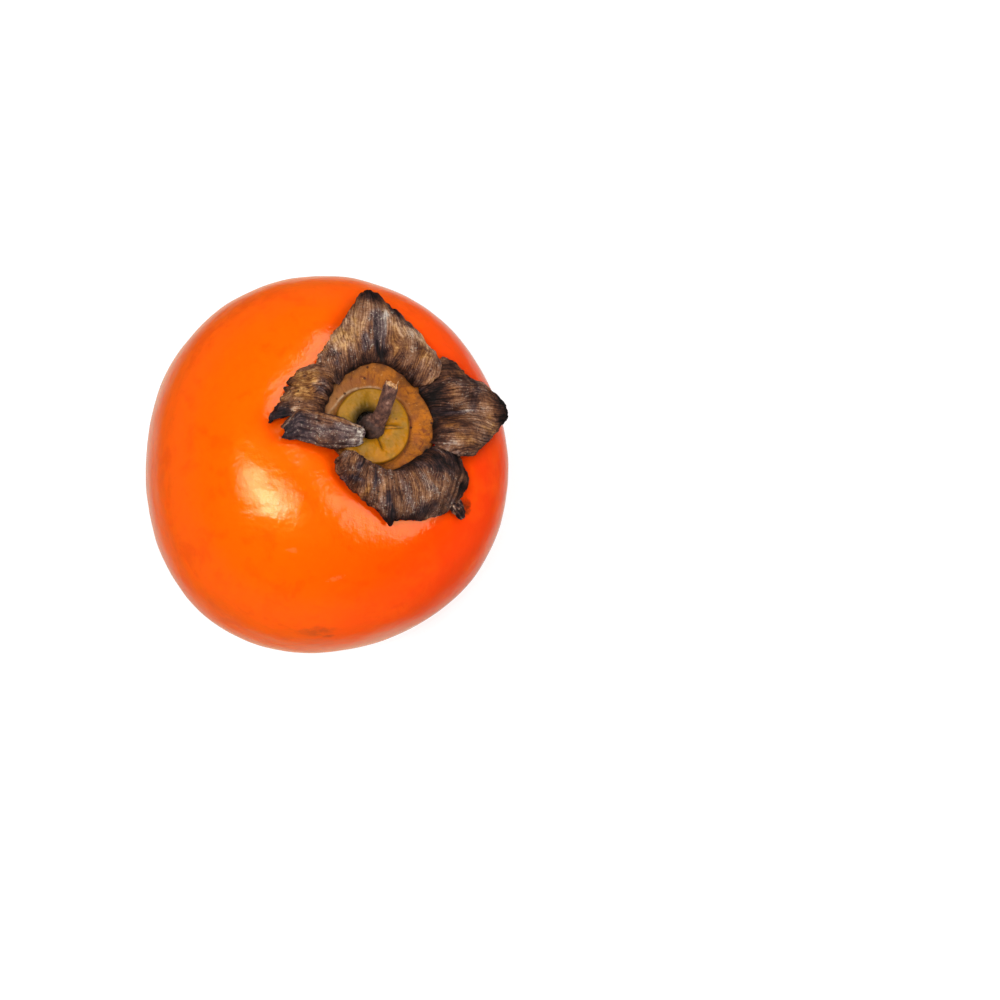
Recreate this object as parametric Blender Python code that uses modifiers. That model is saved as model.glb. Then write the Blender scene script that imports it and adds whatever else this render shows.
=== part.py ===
"""A whole ripe persimmon, resting on a small flat spot with its calyx up and leaning to one side.

Pieces: the fruit, the calyx disc, the swollen collar round the stem, four dry sepals, the stem stub and the
dried style tip. Everything but the flat spot is shaped in the fruit's own axis frame: the axis runs from the
blossom end up through the stem, azimuth 0 is the side that the fruit leans towards, and 90 degrees is +Y.
Metres, +Z up, origin at the centre of the flat spot.
"""

import math

import bmesh
import bpy
import numpy as np

# ---- the fruit ----
EQUATOR_RADIUS = 0.0399
SHOULDER_HEIGHT = 0.0355  # from the equator up to the shoulders, before the calyx basin
BLOSSOM_DEPTH = 0.0361  # from the equator down to the blossom end
SHOULDER_POWER = 2.36  # 2 is an ellipse, more is squarer
BLOSSOM_POWER = 2.15
SIDES = ((2, 0.0253, 88.6), (3, 0.0142, -9.4), (4, 0.0111, -35))  # waves round the girth: count, share, degrees
BASIN_DEPTH = 0.0050
BASIN_RADIUS = 0.0160
DIMPLE_DEPTH = 0.0010  # at the blossom end
DIMPLE_RADIUS = 0.0045
LEAN = math.radians(21)
PRESSED = 0.0011  # how far the lowest skin is flattened where the fruit rests
PRESS_BLEND = 0.0004
FRUIT_SEGMENTS, FRUIT_RINGS = 64, 34

# ---- the calyx ----
GAP = 0.0003  # between pieces
DISC_RADIUS = 0.0120
DISC_OFFSET = 0.0024  # the disc's centre is off the stem's axis
DISC_OFFSET_AT = 50
DISC_SQUARE = 0.0005  # stands out towards the middle of each sepal
DISC_THICKNESS = 0.0010
COLLAR_RADIUS = 0.0058
COLLAR_WIDTH = 0.0044
COLLAR_HEIGHT = 0.0018
COLLAR_CREASES = ((305, 5, 0.0006), (7, 4, 0.0004))  # azimuth and half width in degrees, depth
SEPAL_THICKNESS = 0.0007
SEPAL_BASE_HEIGHT = 0.0020  # the sepals' roots over the skin, on the disc's rim
SEPAL_BASE_OVERLAP = 0.0005
SEPAL_WAVE = 0.0005  # the margin's waves, lifting it off the skin
SEPAL_WAVE_DEGREES = 13
RISE_ROWS, FALL_ROWS, COLUMNS_PER_STATION = 3, 6, 3

# Each sepal's stations round the stem: the root's azimuth and the blade's in degrees, then in metres the crest's
# radius and height and the margin's radius and height. Heights are over the skin.
SEPALS = {
    "sepal_north": (
        (46.0, 40.5, 0.0150, 0.0039, 0.0176, 0.0033),
        (50.0, 44.5, 0.0158, 0.0044, 0.0202, 0.0030),
        (53.0, 49.0, 0.0163, 0.0045, 0.0216, 0.0022),
        (60.0, 57.5, 0.0168, 0.0044, 0.0227, 0.0012),
        (69.0, 68.0, 0.0172, 0.0043, 0.0247, 0.0012),
        (78.0, 79.0, 0.0176, 0.0040, 0.0270, 0.0018),
        (83.0, 86.0, 0.0180, 0.0042, 0.0294, 0.0034),
        (87.0, 92.0, 0.0180, 0.0043, 0.0298, 0.0044),
        (92.0, 97.0, 0.0179, 0.0041, 0.0264, 0.0032),
        (99.0, 104.0, 0.0172, 0.0037, 0.0226, 0.0020),
        (108.0, 114.0, 0.0163, 0.0035, 0.0196, 0.0015),
        (118.0, 124.0, 0.0151, 0.0032, 0.0177, 0.0012),
        (127.0, 132.0, 0.0140, 0.0026, 0.0166, 0.0011),
        (132.0, 137.0, 0.0134, 0.0021, 0.0154, 0.0010),
    ),
    "sepal_east": (
        (-10.0, -15.0, 0.0152, 0.0039, 0.0188, 0.0032),
        (-6.0, -10.5, 0.0162, 0.0046, 0.0220, 0.0024),
        (0.0, -2.0, 0.0172, 0.0048, 0.0252, 0.0013),
        (5.0, 5.0, 0.0180, 0.0043, 0.0284, 0.0017),
        (10.0, 10.5, 0.0186, 0.0036, 0.0310, 0.0040),
        (13.0, 14.0, 0.0190, 0.0032, 0.0315, 0.0062),
        (17.0, 19.0, 0.0188, 0.0034, 0.0305, 0.0052),
        (22.0, 25.0, 0.0186, 0.0040, 0.0292, 0.0030),
        (28.0, 31.0, 0.0178, 0.0039, 0.0265, 0.0016),
        (33.0, 36.5, 0.0168, 0.0034, 0.0250, 0.0012),
        (37.0, 41.0, 0.0158, 0.0027, 0.0238, 0.0011),
        (40.0, 46.0, 0.0149, 0.0021, 0.0210, 0.0010),
    ),
    "sepal_south": (
        (230.0, 225.5, 0.0093, 0.0050, 0.0110, 0.0020),
        (236.0, 233.0, 0.0087, 0.0063, 0.0121, 0.0013),
        (247.0, 246.0, 0.0087, 0.0067, 0.0135, 0.0011),
        (261.0, 261.0, 0.0091, 0.0064, 0.0150, 0.0011),
        (272.0, 272.0, 0.0094, 0.0058, 0.0169, 0.0011),
        (279.0, 279.0, 0.0099, 0.0054, 0.0192, 0.0010),
        (282.0, 282.0, 0.0101, 0.0053, 0.0207, 0.0009),
        (286.0, 286.0, 0.0104, 0.0052, 0.0199, 0.0010),
        (300.0, 301.0, 0.0114, 0.0048, 0.0214, 0.0010),
        (310.0, 311.0, 0.0124, 0.0046, 0.0224, 0.0010),
        (320.0, 321.0, 0.0136, 0.0046, 0.0236, 0.0012),
        (328.0, 329.0, 0.0146, 0.0047, 0.0234, 0.0014),
        (334.0, 336.0, 0.0152, 0.0042, 0.0219, 0.0013),
        (338.0, 342.0, 0.0152, 0.0031, 0.0198, 0.0011),
        (343.0, 349.0, 0.0148, 0.0021, 0.0180, 0.0010),
    ),
    "sepal_west": (
        (143.0, 133.5, 0.0136, 0.0037, 0.0164, 0.0027),
        (146.0, 139.0, 0.0140, 0.0040, 0.0176, 0.0018),
        (150.0, 146.0, 0.0142, 0.0039, 0.0184, 0.0013),
        (155.0, 154.0, 0.0143, 0.0039, 0.0190, 0.0013),
        (160.0, 160.5, 0.0143, 0.0039, 0.0196, 0.0014),
        (162.0, 163.0, 0.0143, 0.0039, 0.0185, 0.0014),
        (168.0, 170.0, 0.0143, 0.0040, 0.0188, 0.0018),
        (175.0, 177.0, 0.0145, 0.0041, 0.0208, 0.0020),
        (180.0, 183.0, 0.0145, 0.0039, 0.0220, 0.0024),
        (183.0, 186.0, 0.0140, 0.0035, 0.0176, 0.0022),
        (188.0, 192.0, 0.0134, 0.0028, 0.0160, 0.0018),
    ),
}

# Folds in the sepals: azimuth and half width in degrees, height, and where along the blade from root (0) to
# margin (1) it is deepest and its half width there.
FOLDS = {
    "sepal_north": (
        (85, 5, -0.0014, 0.30, 0.22),
        (90, 6, 0.0006, 0.72, 0.25),
        (60, 9, 0.0006, 0.45, 0.30),
        (111, 9, 0.0004, 0.50, 0.30),
        (74, 3, -0.0005, 0.55, 0.30),
        (101, 3, -0.0005, 0.55, 0.30),
    ),
    "sepal_east": (
        (15, 5, -0.0015, 0.35, 0.28),
        (28, 5, 0.0005, 0.50, 0.30),
        (1, 6, 0.0005, 0.50, 0.30),
        (8, 2.5, -0.0004, 0.70, 0.25),
        (22, 2.5, -0.0004, 0.70, 0.25),
    ),
    "sepal_south": (
        (262, 6, -0.0006, 0.50, 0.25),
        (283, 4, 0.0005, 0.75, 0.30),
        (292, 5, -0.0006, 0.45, 0.25),
        (308, 6, 0.0003, 0.50, 0.30),
        (317, 3, -0.0004, 0.50, 0.30),
        (240, 4, 0.0003, 0.50, 0.30),
    ),
    "sepal_west": (
        (147, 3.5, 0.0004, 0.45, 0.30),
        (153, 3, -0.0006, 0.50, 0.30),
        (162, 3, -0.0005, 0.75, 0.30),
        (170, 5, 0.0004, 0.60, 0.30),
    ),
}

# The west sepal's torn side is rolled over into a scroll that lies along -X over the disc: distance along X,
# then the roll's centre in Y, its centre's height over the skin, its half width and its half height.
SCROLL = (
    (-0.0186, -0.0029, 0.0036, 0.0013, 0.0009),
    (-0.0178, -0.0023, 0.0038, 0.0020, 0.0010),
    (-0.0162, -0.0016, 0.0040, 0.0027, 0.0013),
    (-0.0130, -0.0019, 0.0044, 0.0027, 0.0016),
    (-0.0094, -0.0026, 0.0050, 0.0025, 0.0016),
    (-0.0065, -0.0034, 0.0054, 0.0020, 0.0013),
    (-0.0044, -0.0033, 0.0054, 0.0013, 0.0010),
    (-0.0032, -0.0031, 0.0053, 0.0009, 0.0008),
)
SCROLL_SLOPE = 0.25  # its side towards +Y is higher
SCROLL_START, SCROLL_END = math.radians(-10), math.radians(262)

# The south sepal's shrivelled tip lies on the skin past its margin.
TIP_AT = math.radians(319.5)
TIP_RADII = (0.0215, 0.0268)
TIP_HALF_WIDTH = 0.0014
TIP_HEIGHT = 0.0015
TIP_THICKNESS = 0.0010

# ---- the stem and the style ----
STEM_POINTS = (  # X, Y, height over the skin at the axis, radius
    (0.0005, 0.0003, 0.0018, 0.0027),
    (0.0005, 0.0003, 0.0029, 0.0027),
    (0.0007, 0.0008, 0.0040, 0.0019),
    (0.0009, 0.0016, 0.0056, 0.0015),
    (0.0010, 0.0035, 0.0085, 0.0015),
    (0.0011, 0.0057, 0.0112, 0.0015),
    (0.0011, 0.0064, 0.0121, 0.0015),
)
SPLINTERS = ((-0.0006, 0.0005, 0.0017), (0.0006, 0.0003, 0.0011), (0.0001, -0.0006, 0.0009))  # X, Y, length
SPLINTER_RADIUS = 0.0007
STYLE_RADIUS = 0.0011
STYLE_LENGTH = 0.0012

COLOURS = {
    "skin": ((0.90, 0.16, 0.01), 0.25),
    "disc": ((0.45, 0.18, 0.03), 0.55),
    "collar": ((0.42, 0.27, 0.04), 0.45),
    "dry_leaf": ((0.14, 0.08, 0.05), 0.85),
    "bark": ((0.10, 0.05, 0.04), 0.80),
    "style": ((0.03, 0.02, 0.015), 0.80),
}


def clear_scene():
    for obj in list(bpy.data.objects):
        bpy.data.objects.remove(obj, do_unlink=True)


def new_collection(name, hidden=False):
    collection = bpy.data.collections.new(name)
    bpy.context.scene.collection.children.link(collection)
    collection.hide_render = hidden
    return collection


def material(name):
    colour, roughness = COLOURS[name]
    made = bpy.data.materials.new(name)
    made.use_nodes = True
    shader = made.node_tree.nodes["Principled BSDF"]
    shader.inputs["Base Color"].default_value = (*colour, 1)
    shader.inputs["Roughness"].default_value = roughness
    shader.inputs["Metallic"].default_value = 0
    return made


# ---- shape formulas, in the axis frame ----
def girth(azimuth):
    """How far the girth stands out at an azimuth, as a share of the radius: an oval, a three- and a four-sided wave."""
    return sum(share * np.cos(n * (azimuth - math.radians(at))) for n, share, at in SIDES)


def basin(radius):
    """How far the calyx basin lowers the skin at a distance from the axis."""
    return BASIN_DEPTH * np.exp(-((radius / BASIN_RADIUS) ** 2))


def skin_points(polar, azimuth):
    """Points of the skin before it is pressed flat: a superellipse turned round the axis, with waves in its girth."""
    up = polar < math.pi / 2
    power = np.where(up, SHOULDER_POWER, BLOSSOM_POWER)
    reach = np.where(up, SHOULDER_HEIGHT, BLOSSOM_DEPTH)
    radius = EQUATOR_RADIUS * np.sin(polar) ** (2 / power)
    height = reach * np.sign(np.cos(polar)) * np.abs(np.cos(polar)) ** (2 / power)
    height = height - np.where(up, basin(radius), 0)
    height = height + np.where(up, 0, DIMPLE_DEPTH * np.exp(-((radius / DIMPLE_RADIUS) ** 2)))
    radius = radius * (1 + girth(azimuth) * (radius / EQUATOR_RADIUS) ** 2)
    return np.stack([radius * np.cos(azimuth), radius * np.sin(azimuth), height], -1)


def skin_height(radius, azimuth):
    """The skin's height on the calyx side, over a point at this distance from the axis."""
    plain = radius
    for _ in range(4):  # undoes the girth's waves
        plain = radius / (1 + girth(azimuth) * (plain / EQUATOR_RADIUS) ** 2)
    share = np.clip(plain / EQUATOR_RADIUS, 0, 0.999)
    return SHOULDER_HEIGHT * (1 - share**SHOULDER_POWER) ** (1 / SHOULDER_POWER) - basin(plain)


def disc_radius(azimuth):
    """The calyx disc's rim: a circle off the stem's axis, drawn out a little towards each sepal."""
    return (
        DISC_RADIUS
        + DISC_OFFSET * np.cos(azimuth - math.radians(DISC_OFFSET_AT))
        + DISC_SQUARE * np.cos(4 * azimuth)
    )


def spline(stations, at):
    """A Catmull-Rom curve through the stations' rows. at counts stations from 0."""
    rows = np.array(stations)
    rows = np.concatenate([2 * rows[:1] - rows[1:2], rows, 2 * rows[-1:] - rows[-2:-1]])
    i = np.clip(np.floor(at).astype(int), 0, len(stations) - 2)
    t = (at - i)[..., None]
    a, b, c, d = (rows[i + k] for k in range(4))
    return b + 0.5 * t * (c - a + t * (2 * a - 5 * b + 4 * c - d + t * (3 * (b - c) + d - a)))


def on_skin(radius, azimuth, height):
    """The point this high over the skin, measured along the axis."""
    up = skin_height(radius, azimuth) + height
    return np.stack([radius * np.cos(azimuth), radius * np.sin(azimuth), up], -1)


def bump(at, centre, half_width):
    return np.exp(-(((at - centre) / half_width) ** 2))


def sepal_points(name, u, v):
    """A sepal's middle surface. u runs round the stem through the stations and v outwards: a quarter ellipse from
    the disc's rim up to the crest, then another from the crest out and down to the margin, with folds and waves."""
    stations = SEPALS[name]
    row = spline(stations, u * (len(stations) - 1))
    root_degrees, degrees, crest_radius, crest_height, margin_radius, margin_height = (row[..., k] for k in range(6))
    split = RISE_ROWS / (RISE_ROWS + FALL_ROWS)
    rise = np.clip(v / split, 0, 1)
    fall = np.clip((v - split) / (1 - split), 0, 1)
    degrees = root_degrees + (degrees - root_degrees) * rise**2 * (3 - 2 * rise)
    azimuth = np.radians(degrees)
    root_radius = disc_radius(azimuth) - SEPAL_BASE_OVERLAP
    turn = rise * math.pi / 2
    radius = root_radius + (crest_radius - root_radius) * (1 - np.cos(turn))
    height = SEPAL_BASE_HEIGHT + (crest_height - SEPAL_BASE_HEIGHT) * np.sin(turn)
    turn = fall * math.pi / 2
    radius = radius + (margin_radius - crest_radius) * np.sin(turn)
    height = height + (margin_height - crest_height) * (1 - np.cos(turn))
    for at, half_width, lift, along, half_length in FOLDS[name]:
        height = height + lift * bump(degrees, at, half_width) * bump(v, along, half_length) * np.clip(8 * v, 0, 1)
    wave = 0.5 + 0.5 * np.cos(degrees / SEPAL_WAVE_DEGREES * 2 * math.pi)
    return on_skin(radius, azimuth, height + SEPAL_WAVE * wave * fall**2)


def scroll_points(u, v):
    """The rolled side of the west sepal: an open tube along -X. u runs along it and v round it."""
    row = spline(SCROLL, u * (len(SCROLL) - 1))
    turn = SCROLL_START + (SCROLL_END - SCROLL_START) * v
    across = row[..., 3] * np.cos(turn)
    y = row[..., 1] + across
    radius, azimuth = np.hypot(row[..., 0], row[..., 1]), np.arctan2(row[..., 1], row[..., 0])
    up = skin_height(radius, azimuth) + row[..., 2] + row[..., 4] * np.sin(turn) + SCROLL_SLOPE * across
    return np.stack([row[..., 0], y, up], -1)


# ---- making the pieces ----
def read_points(mesh):
    found = np.empty(len(mesh.vertices) * 3)
    mesh.vertices.foreach_get("co", found)
    return found.reshape(-1, 3)


def add_object(name, made, collection, parent, colour=None):
    """Turns a bmesh into an object on the fruit's axis."""
    mesh = bpy.data.meshes.new(name)
    made.to_mesh(mesh)
    made.free()
    mesh.shade_smooth()
    obj = bpy.data.objects.new(name, mesh)
    obj.parent = parent
    collection.objects.link(obj)
    if colour:
        mesh.materials.append(material(colour))
    return obj


def helper(obj):
    obj.hide_render = True
    obj.display_type = "WIRE"
    return obj


def sphere(segments, rings):
    made = bmesh.new()
    bmesh.ops.create_uvsphere(made, u_segments=segments, v_segments=rings, radius=1)
    return made


def grid(columns, rows):
    """A unit grid whose X and Y, from -1 to 1, stand for a surface's u and v."""
    made = bmesh.new()
    bmesh.ops.create_grid(made, x_segments=columns, y_segments=rows, size=1)
    return made


def reshape(obj, formula):
    """Moves every vertex of the object's mesh by a formula on all of its points."""
    mesh = obj.data
    mesh.vertices.foreach_set("co", formula(read_points(mesh)).ravel())
    mesh.update()


def sphere_angles(points):
    return np.arccos(np.clip(points[:, 2], -1, 1)), np.arctan2(points[:, 1], points[:, 0])


def solidify(obj, thickness):
    wall = obj.modifiers.new("wall", "SOLIDIFY")
    wall.thickness = thickness
    wall.offset = 0


def unite(obj, other):
    join = obj.modifiers.new("join_" + other.name, "BOOLEAN")
    join.operation = "UNION"
    join.object = other


def face_up(obj):
    """Turns a sheet's faces so that its upper side is the front, and splits them so that both sides of the wall
    it gets are triangles alike."""
    made = bmesh.new()
    made.from_mesh(obj.data)
    made.normal_update()
    if sum(face.normal.z for face in made.faces) < 0:
        bmesh.ops.reverse_faces(made, faces=made.faces)
    bmesh.ops.triangulate(made, faces=made.faces)
    made.to_mesh(obj.data)
    made.free()


def to_world(points, place):
    """Leaning and moving: the axis frame's points in world space."""
    turn = np.array(((math.cos(LEAN), 0, math.sin(LEAN)), (0, 1, 0), (-math.sin(LEAN), 0, math.cos(LEAN))))
    return points @ turn.T + place


def rest_place():
    """Where the axis frame's origin goes, so that the lowest skin is over the world's origin and PRESSED under it."""
    polar, azimuth = np.meshgrid(np.linspace(0.5, 1, 361) * math.pi, np.linspace(0, 2, 721) * math.pi)
    points = to_world(skin_points(polar.ravel(), azimuth.ravel()), 0)
    lowest = points[points[:, 2].argmin()]
    return np.array((-lowest[0], -lowest[1], -lowest[2] - PRESSED))


def make_fruit(collection, axis, place):
    """One berry: skin and flesh are one solid, pressed flat where it rests."""
    fruit = add_object("fruit", sphere(FRUIT_SEGMENTS, FRUIT_RINGS), collection, axis, "skin")

    def shape(points):
        skin = skin_points(*sphere_angles(points))
        world = to_world(skin, place)
        height = world[:, 2]
        soft = (height + PRESS_BLEND) ** 2 / (4 * PRESS_BLEND)
        flat = np.where(height < -PRESS_BLEND, 0, np.where(height < PRESS_BLEND, soft, height))
        world[:, 2] = flat
        back = world - place
        turn = np.array(((math.cos(LEAN), 0, math.sin(LEAN)), (0, 1, 0), (-math.sin(LEAN), 0, math.cos(LEAN))))
        return back @ turn

    reshape(fruit, shape)


def make_disc(collection, axis):
    """The leathery plate that the sepals grow from: a flattened sphere laid into the basin."""
    disc = add_object("calyx_disc", sphere(48, 12), collection, axis, "disc")

    def shape(points):
        polar, azimuth = sphere_angles(points)
        radius = disc_radius(azimuth) * np.sin(polar) ** 0.8
        half = DISC_THICKNESS / 2
        height = GAP + half + half * np.sign(points[:, 2]) * np.abs(points[:, 2]) ** 0.4
        return on_skin(radius, azimuth, height)

    reshape(disc, shape)


def make_collar(collection, axis):
    """The swollen ring that the stem grows out of."""
    bpy.ops.mesh.primitive_torus_add(
        major_segments=40, minor_segments=12, major_radius=COLLAR_RADIUS, minor_radius=COLLAR_WIDTH / 2
    )
    collar = bpy.context.object
    collar.name = collar.data.name = "collar"
    for owner in collar.users_collection:
        owner.objects.unlink(collar)
    collection.objects.link(collar)
    collar.parent = axis
    collar.data.materials.append(material("collar"))
    collar.data.shade_smooth()

    def shape(points):
        radius, azimuth = np.hypot(points[:, 0], points[:, 1]), np.arctan2(points[:, 1], points[:, 0])
        squash = COLLAR_HEIGHT / COLLAR_WIDTH
        up = points[:, 2] * squash
        for at, half_width, depth in COLLAR_CREASES:
            away = (np.degrees(azimuth) - at + 180) % 360 - 180
            up = up - np.clip(up / COLLAR_HEIGHT * 2, 0, 1) * depth * bump(away, 0, half_width)
        return on_skin(radius, azimuth, 2 * GAP + DISC_THICKNESS + COLLAR_HEIGHT / 2 + up)

    reshape(collar, shape)


def make_sheet(name, collection, axis, colour, columns, rows, formula):
    sheet = add_object(name, grid(columns, rows), collection, axis, colour)
    reshape(sheet, lambda points: formula((points[:, 0] + 1) / 2, (points[:, 1] + 1) / 2))
    face_up(sheet)
    solidify(sheet, SEPAL_THICKNESS)
    return sheet


def make_sepals(collection, helpers, axis):
    """Four dry lobes, each an arched sheet with its own outline."""
    made = {}
    for name, stations in SEPALS.items():
        columns = COLUMNS_PER_STATION * (len(stations) - 1)
        made[name] = make_sheet(
            name, collection, axis, "dry_leaf", columns, RISE_ROWS + FALL_ROWS,
            lambda u, v, name=name: sepal_points(name, u, v),
        )
    scroll = make_sheet("scroll", helpers, axis, None, 14, 12, scroll_points)
    unite(made["sepal_west"], helper(scroll))
    tip = helper(add_object("shrivelled_tip", sphere(10, 8), helpers, axis))

    def shape(points):
        middle, half = sum(TIP_RADII) / 2, (TIP_RADII[1] - TIP_RADII[0]) / 2
        radius = middle + half * points[:, 0]
        azimuth = TIP_AT + TIP_HALF_WIDTH / middle * points[:, 1]
        return on_skin(radius, azimuth, TIP_HEIGHT + TIP_THICKNESS * points[:, 2])

    reshape(tip, shape)
    unite(made["sepal_south"], tip)


def make_stem(collection, helpers, axis):
    """The broken stalk: a bent tapering tube on a wide foot, with splinters of pale wood at its end."""
    base = float(skin_height(np.array(0.0), np.array(0.0)))
    curve = bpy.data.curves.new("stem_line", "CURVE")
    curve.dimensions = "3D"
    curve.bevel_depth = 1
    curve.bevel_resolution = 3
    curve.use_fill_caps = True
    line = curve.splines.new("POLY")
    line.points.add(len(STEM_POINTS) - 1)
    for point, (x, y, height, radius) in zip(line.points, STEM_POINTS):
        point.co = (x, y, base + height, 1)
        point.radius = radius
    guide = bpy.data.objects.new("stem_line", curve)
    helpers.objects.link(guide)
    mesh = bpy.data.meshes.new_from_object(guide.evaluated_get(bpy.context.evaluated_depsgraph_get()))
    bpy.data.objects.remove(guide)
    made = bmesh.new()
    made.from_mesh(mesh)
    bmesh.ops.remove_doubles(made, verts=made.verts, dist=1e-5)
    bmesh.ops.recalc_face_normals(made, faces=made.faces)
    stem = add_object("stem", made, collection, axis, "bark")
    x, y, height, _ = STEM_POINTS[-1]
    for number, (dx, dy, length) in enumerate(SPLINTERS):
        made = bmesh.new()
        bmesh.ops.create_cone(
            made, cap_ends=True, segments=6, radius1=SPLINTER_RADIUS, radius2=SPLINTER_RADIUS / 5, depth=length * 2
        )
        splinter = helper(add_object(f"splinter_{number}", made, helpers, axis))
        splinter.location = (x + dx, y + dy, base + height)
        splinter.rotation_euler = (math.radians(-30), 0, 0)
        unite(stem, splinter)


def make_style(collection, axis):
    """The dried end of the flower's style, in the dimple at the blossom end."""
    made = bmesh.new()
    bmesh.ops.create_cone(
        made, cap_ends=True, segments=12, radius1=STYLE_RADIUS, radius2=STYLE_RADIUS / 3, depth=STYLE_LENGTH
    )
    style = add_object("style_tip", made, collection, axis, "style")
    style.location = (0, 0, -BLOSSOM_DEPTH + DIMPLE_DEPTH - GAP - STYLE_LENGTH / 2)
    style.rotation_euler = (math.pi, 0, 0)


def main():
    clear_scene()
    pieces = new_collection("persimmon")
    helpers = new_collection("helpers", hidden=True)
    place = rest_place()
    axis = bpy.data.objects.new("fruit_axis", None)
    axis.location = place
    axis.rotation_euler = (0, LEAN, 0)
    pieces.objects.link(axis)
    make_fruit(pieces, axis, place)
    make_disc(pieces, axis)
    make_collar(pieces, axis)
    make_sepals(pieces, helpers, axis)
    make_stem(pieces, helpers, axis)
    make_style(pieces, axis)


main()
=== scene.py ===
"""A ripe persimmon on a pale floor: the looks of the part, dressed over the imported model.

Every piece is a surface of two parameters, worked out in the fruit's own axis frame and then leaned over and
set down on its rest spot. Metres, +Z up.
"""

import math

import bpy
import numpy as np
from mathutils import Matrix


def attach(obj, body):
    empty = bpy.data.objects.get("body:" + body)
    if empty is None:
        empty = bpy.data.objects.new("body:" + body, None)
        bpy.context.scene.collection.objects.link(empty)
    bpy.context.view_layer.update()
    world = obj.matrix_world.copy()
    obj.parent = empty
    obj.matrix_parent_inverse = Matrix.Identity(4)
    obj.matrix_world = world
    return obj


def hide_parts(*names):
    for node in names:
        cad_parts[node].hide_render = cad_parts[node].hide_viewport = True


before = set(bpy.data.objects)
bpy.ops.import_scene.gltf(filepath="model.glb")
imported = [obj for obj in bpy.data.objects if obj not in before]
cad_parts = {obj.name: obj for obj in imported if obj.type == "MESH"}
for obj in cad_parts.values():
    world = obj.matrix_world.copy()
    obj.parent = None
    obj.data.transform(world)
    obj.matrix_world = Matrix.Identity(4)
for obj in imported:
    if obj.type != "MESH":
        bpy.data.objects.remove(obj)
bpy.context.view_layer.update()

# ---- camera ----
# Looks down on the fruit from the front at 75.5 degrees, 0.51 m away, with the fruit left of the middle.
lens = bpy.data.cameras.new("camera")
lens.lens = 85
lens.sensor_width = 36
lens.clip_start = 0.01
camera = bpy.data.objects.new("camera", lens)
camera.location = (0.03395, -0.13501, 0.52994)
camera.rotation_euler = (math.radians(14.5), 0, 0)
bpy.context.scene.collection.objects.link(camera)
bpy.context.scene.camera = camera

# ---- the fruit ----
# One berry under a thin, tough, waxy skin. It grew rounder than a ball is tall, with a faintly four-sided
# girth, a shallow basin under the calyx and a dimple at the blossom end, and it has sat itself a small flat
# spot.
EQUATOR_RADIUS = 0.0399
SHOULDER_HEIGHT = 0.0355
BLOSSOM_DEPTH = 0.0361
SHOULDER_POWER = 2.36
BLOSSOM_POWER = 2.15
SIDES = ((2, 0.0253, 88.6), (3, 0.0142, -9.4), (4, 0.0111, -35))
BASIN_DEPTH = 0.0050
BASIN_RADIUS = 0.0160
DIMPLE_DEPTH = 0.0010
DIMPLE_RADIUS = 0.0045
LEAN = math.radians(21)
PRESSED = 0.0011
PRESS_BLEND = 0.0004
DENT_HEIGHT = 0.00010

LEANING = np.array(((math.cos(LEAN), 0, math.sin(LEAN)), (0, 1, 0), (-math.sin(LEAN), 0, math.cos(LEAN))))


def girth(azimuth):
    """How far the girth stands out at an azimuth: cosine waves of two, three and four to the turn."""
    return sum(share * np.cos(n * (azimuth - math.radians(at))) for n, share, at in SIDES)


def basin(radius):
    """How far the calyx basin lowers the skin: a bell curve of the distance from the axis."""
    return BASIN_DEPTH * np.exp(-((radius / BASIN_RADIUS) ** 2))


def skin_points(polar, azimuth):
    """A superellipse turned round the axis: radius is a power of the sine and height the same power of the
    cosine of the polar angle. The basin and the dimple are taken off, then the girth's waves widen it."""
    up = polar < math.pi / 2
    power = np.where(up, SHOULDER_POWER, BLOSSOM_POWER)
    reach = np.where(up, SHOULDER_HEIGHT, BLOSSOM_DEPTH)
    radius = EQUATOR_RADIUS * np.clip(np.sin(polar), 0, 1) ** (2 / power)
    height = reach * np.sign(np.cos(polar)) * np.abs(np.cos(polar)) ** (2 / power)
    height = height - np.where(up, basin(radius), 0)
    height = height + np.where(up, 0, DIMPLE_DEPTH * np.exp(-((radius / DIMPLE_RADIUS) ** 2)))
    radius = radius * (1 + girth(azimuth) * (radius / EQUATOR_RADIUS) ** 2)
    return np.stack([radius * np.cos(azimuth), radius * np.sin(azimuth), height], -1)


def rest_place():
    """Where the axis frame's origin goes: the lowest skin of the leaning fruit lies over the world's
    origin, and PRESSED below it."""
    polar, azimuth = np.meshgrid(np.linspace(0.5, 1, 361) * math.pi, np.linspace(0, 2, 721) * math.pi)
    points = skin_points(polar, azimuth).reshape(-1, 3) @ LEANING.T
    lowest = points[points[:, 2].argmin()]
    return np.array((-lowest[0], -lowest[1], -lowest[2] - PRESSED))


PLACE = rest_place()


def to_world(points):
    return points @ LEANING.T + PLACE


def ripple(points, length, waves, seed):
    """A soft unevenness from -1 to 1 or so: sine waves of about this length in as many random directions."""
    draw = np.random.default_rng(seed)
    directions = draw.normal(size=(waves, 3))
    directions /= np.linalg.norm(directions, axis=1, keepdims=True)
    directions *= 2 * math.pi / length * draw.uniform(0.6, 1.5, (waves, 1))
    starts = draw.uniform(0, 2 * math.pi, waves)
    return np.sin(points @ directions.T + starts).sum(-1) / math.sqrt(waves)


def lifted(grid, height):
    """Moves each point of a grid along the grid's own normal, the cross product of its two directions'
    slopes."""
    normal = np.cross(np.gradient(grid, axis=0), np.gradient(grid, axis=1))
    normal /= np.maximum(np.linalg.norm(normal, axis=-1, keepdims=True), 1e-12)
    return grid + normal * height[..., None]


def round_grid(columns, second):
    """The second parameter and the azimuth over a grid that goes once round the axis."""
    return np.meshgrid(second, np.linspace(0, 2, columns + 1)[:-1] * math.pi)


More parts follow.
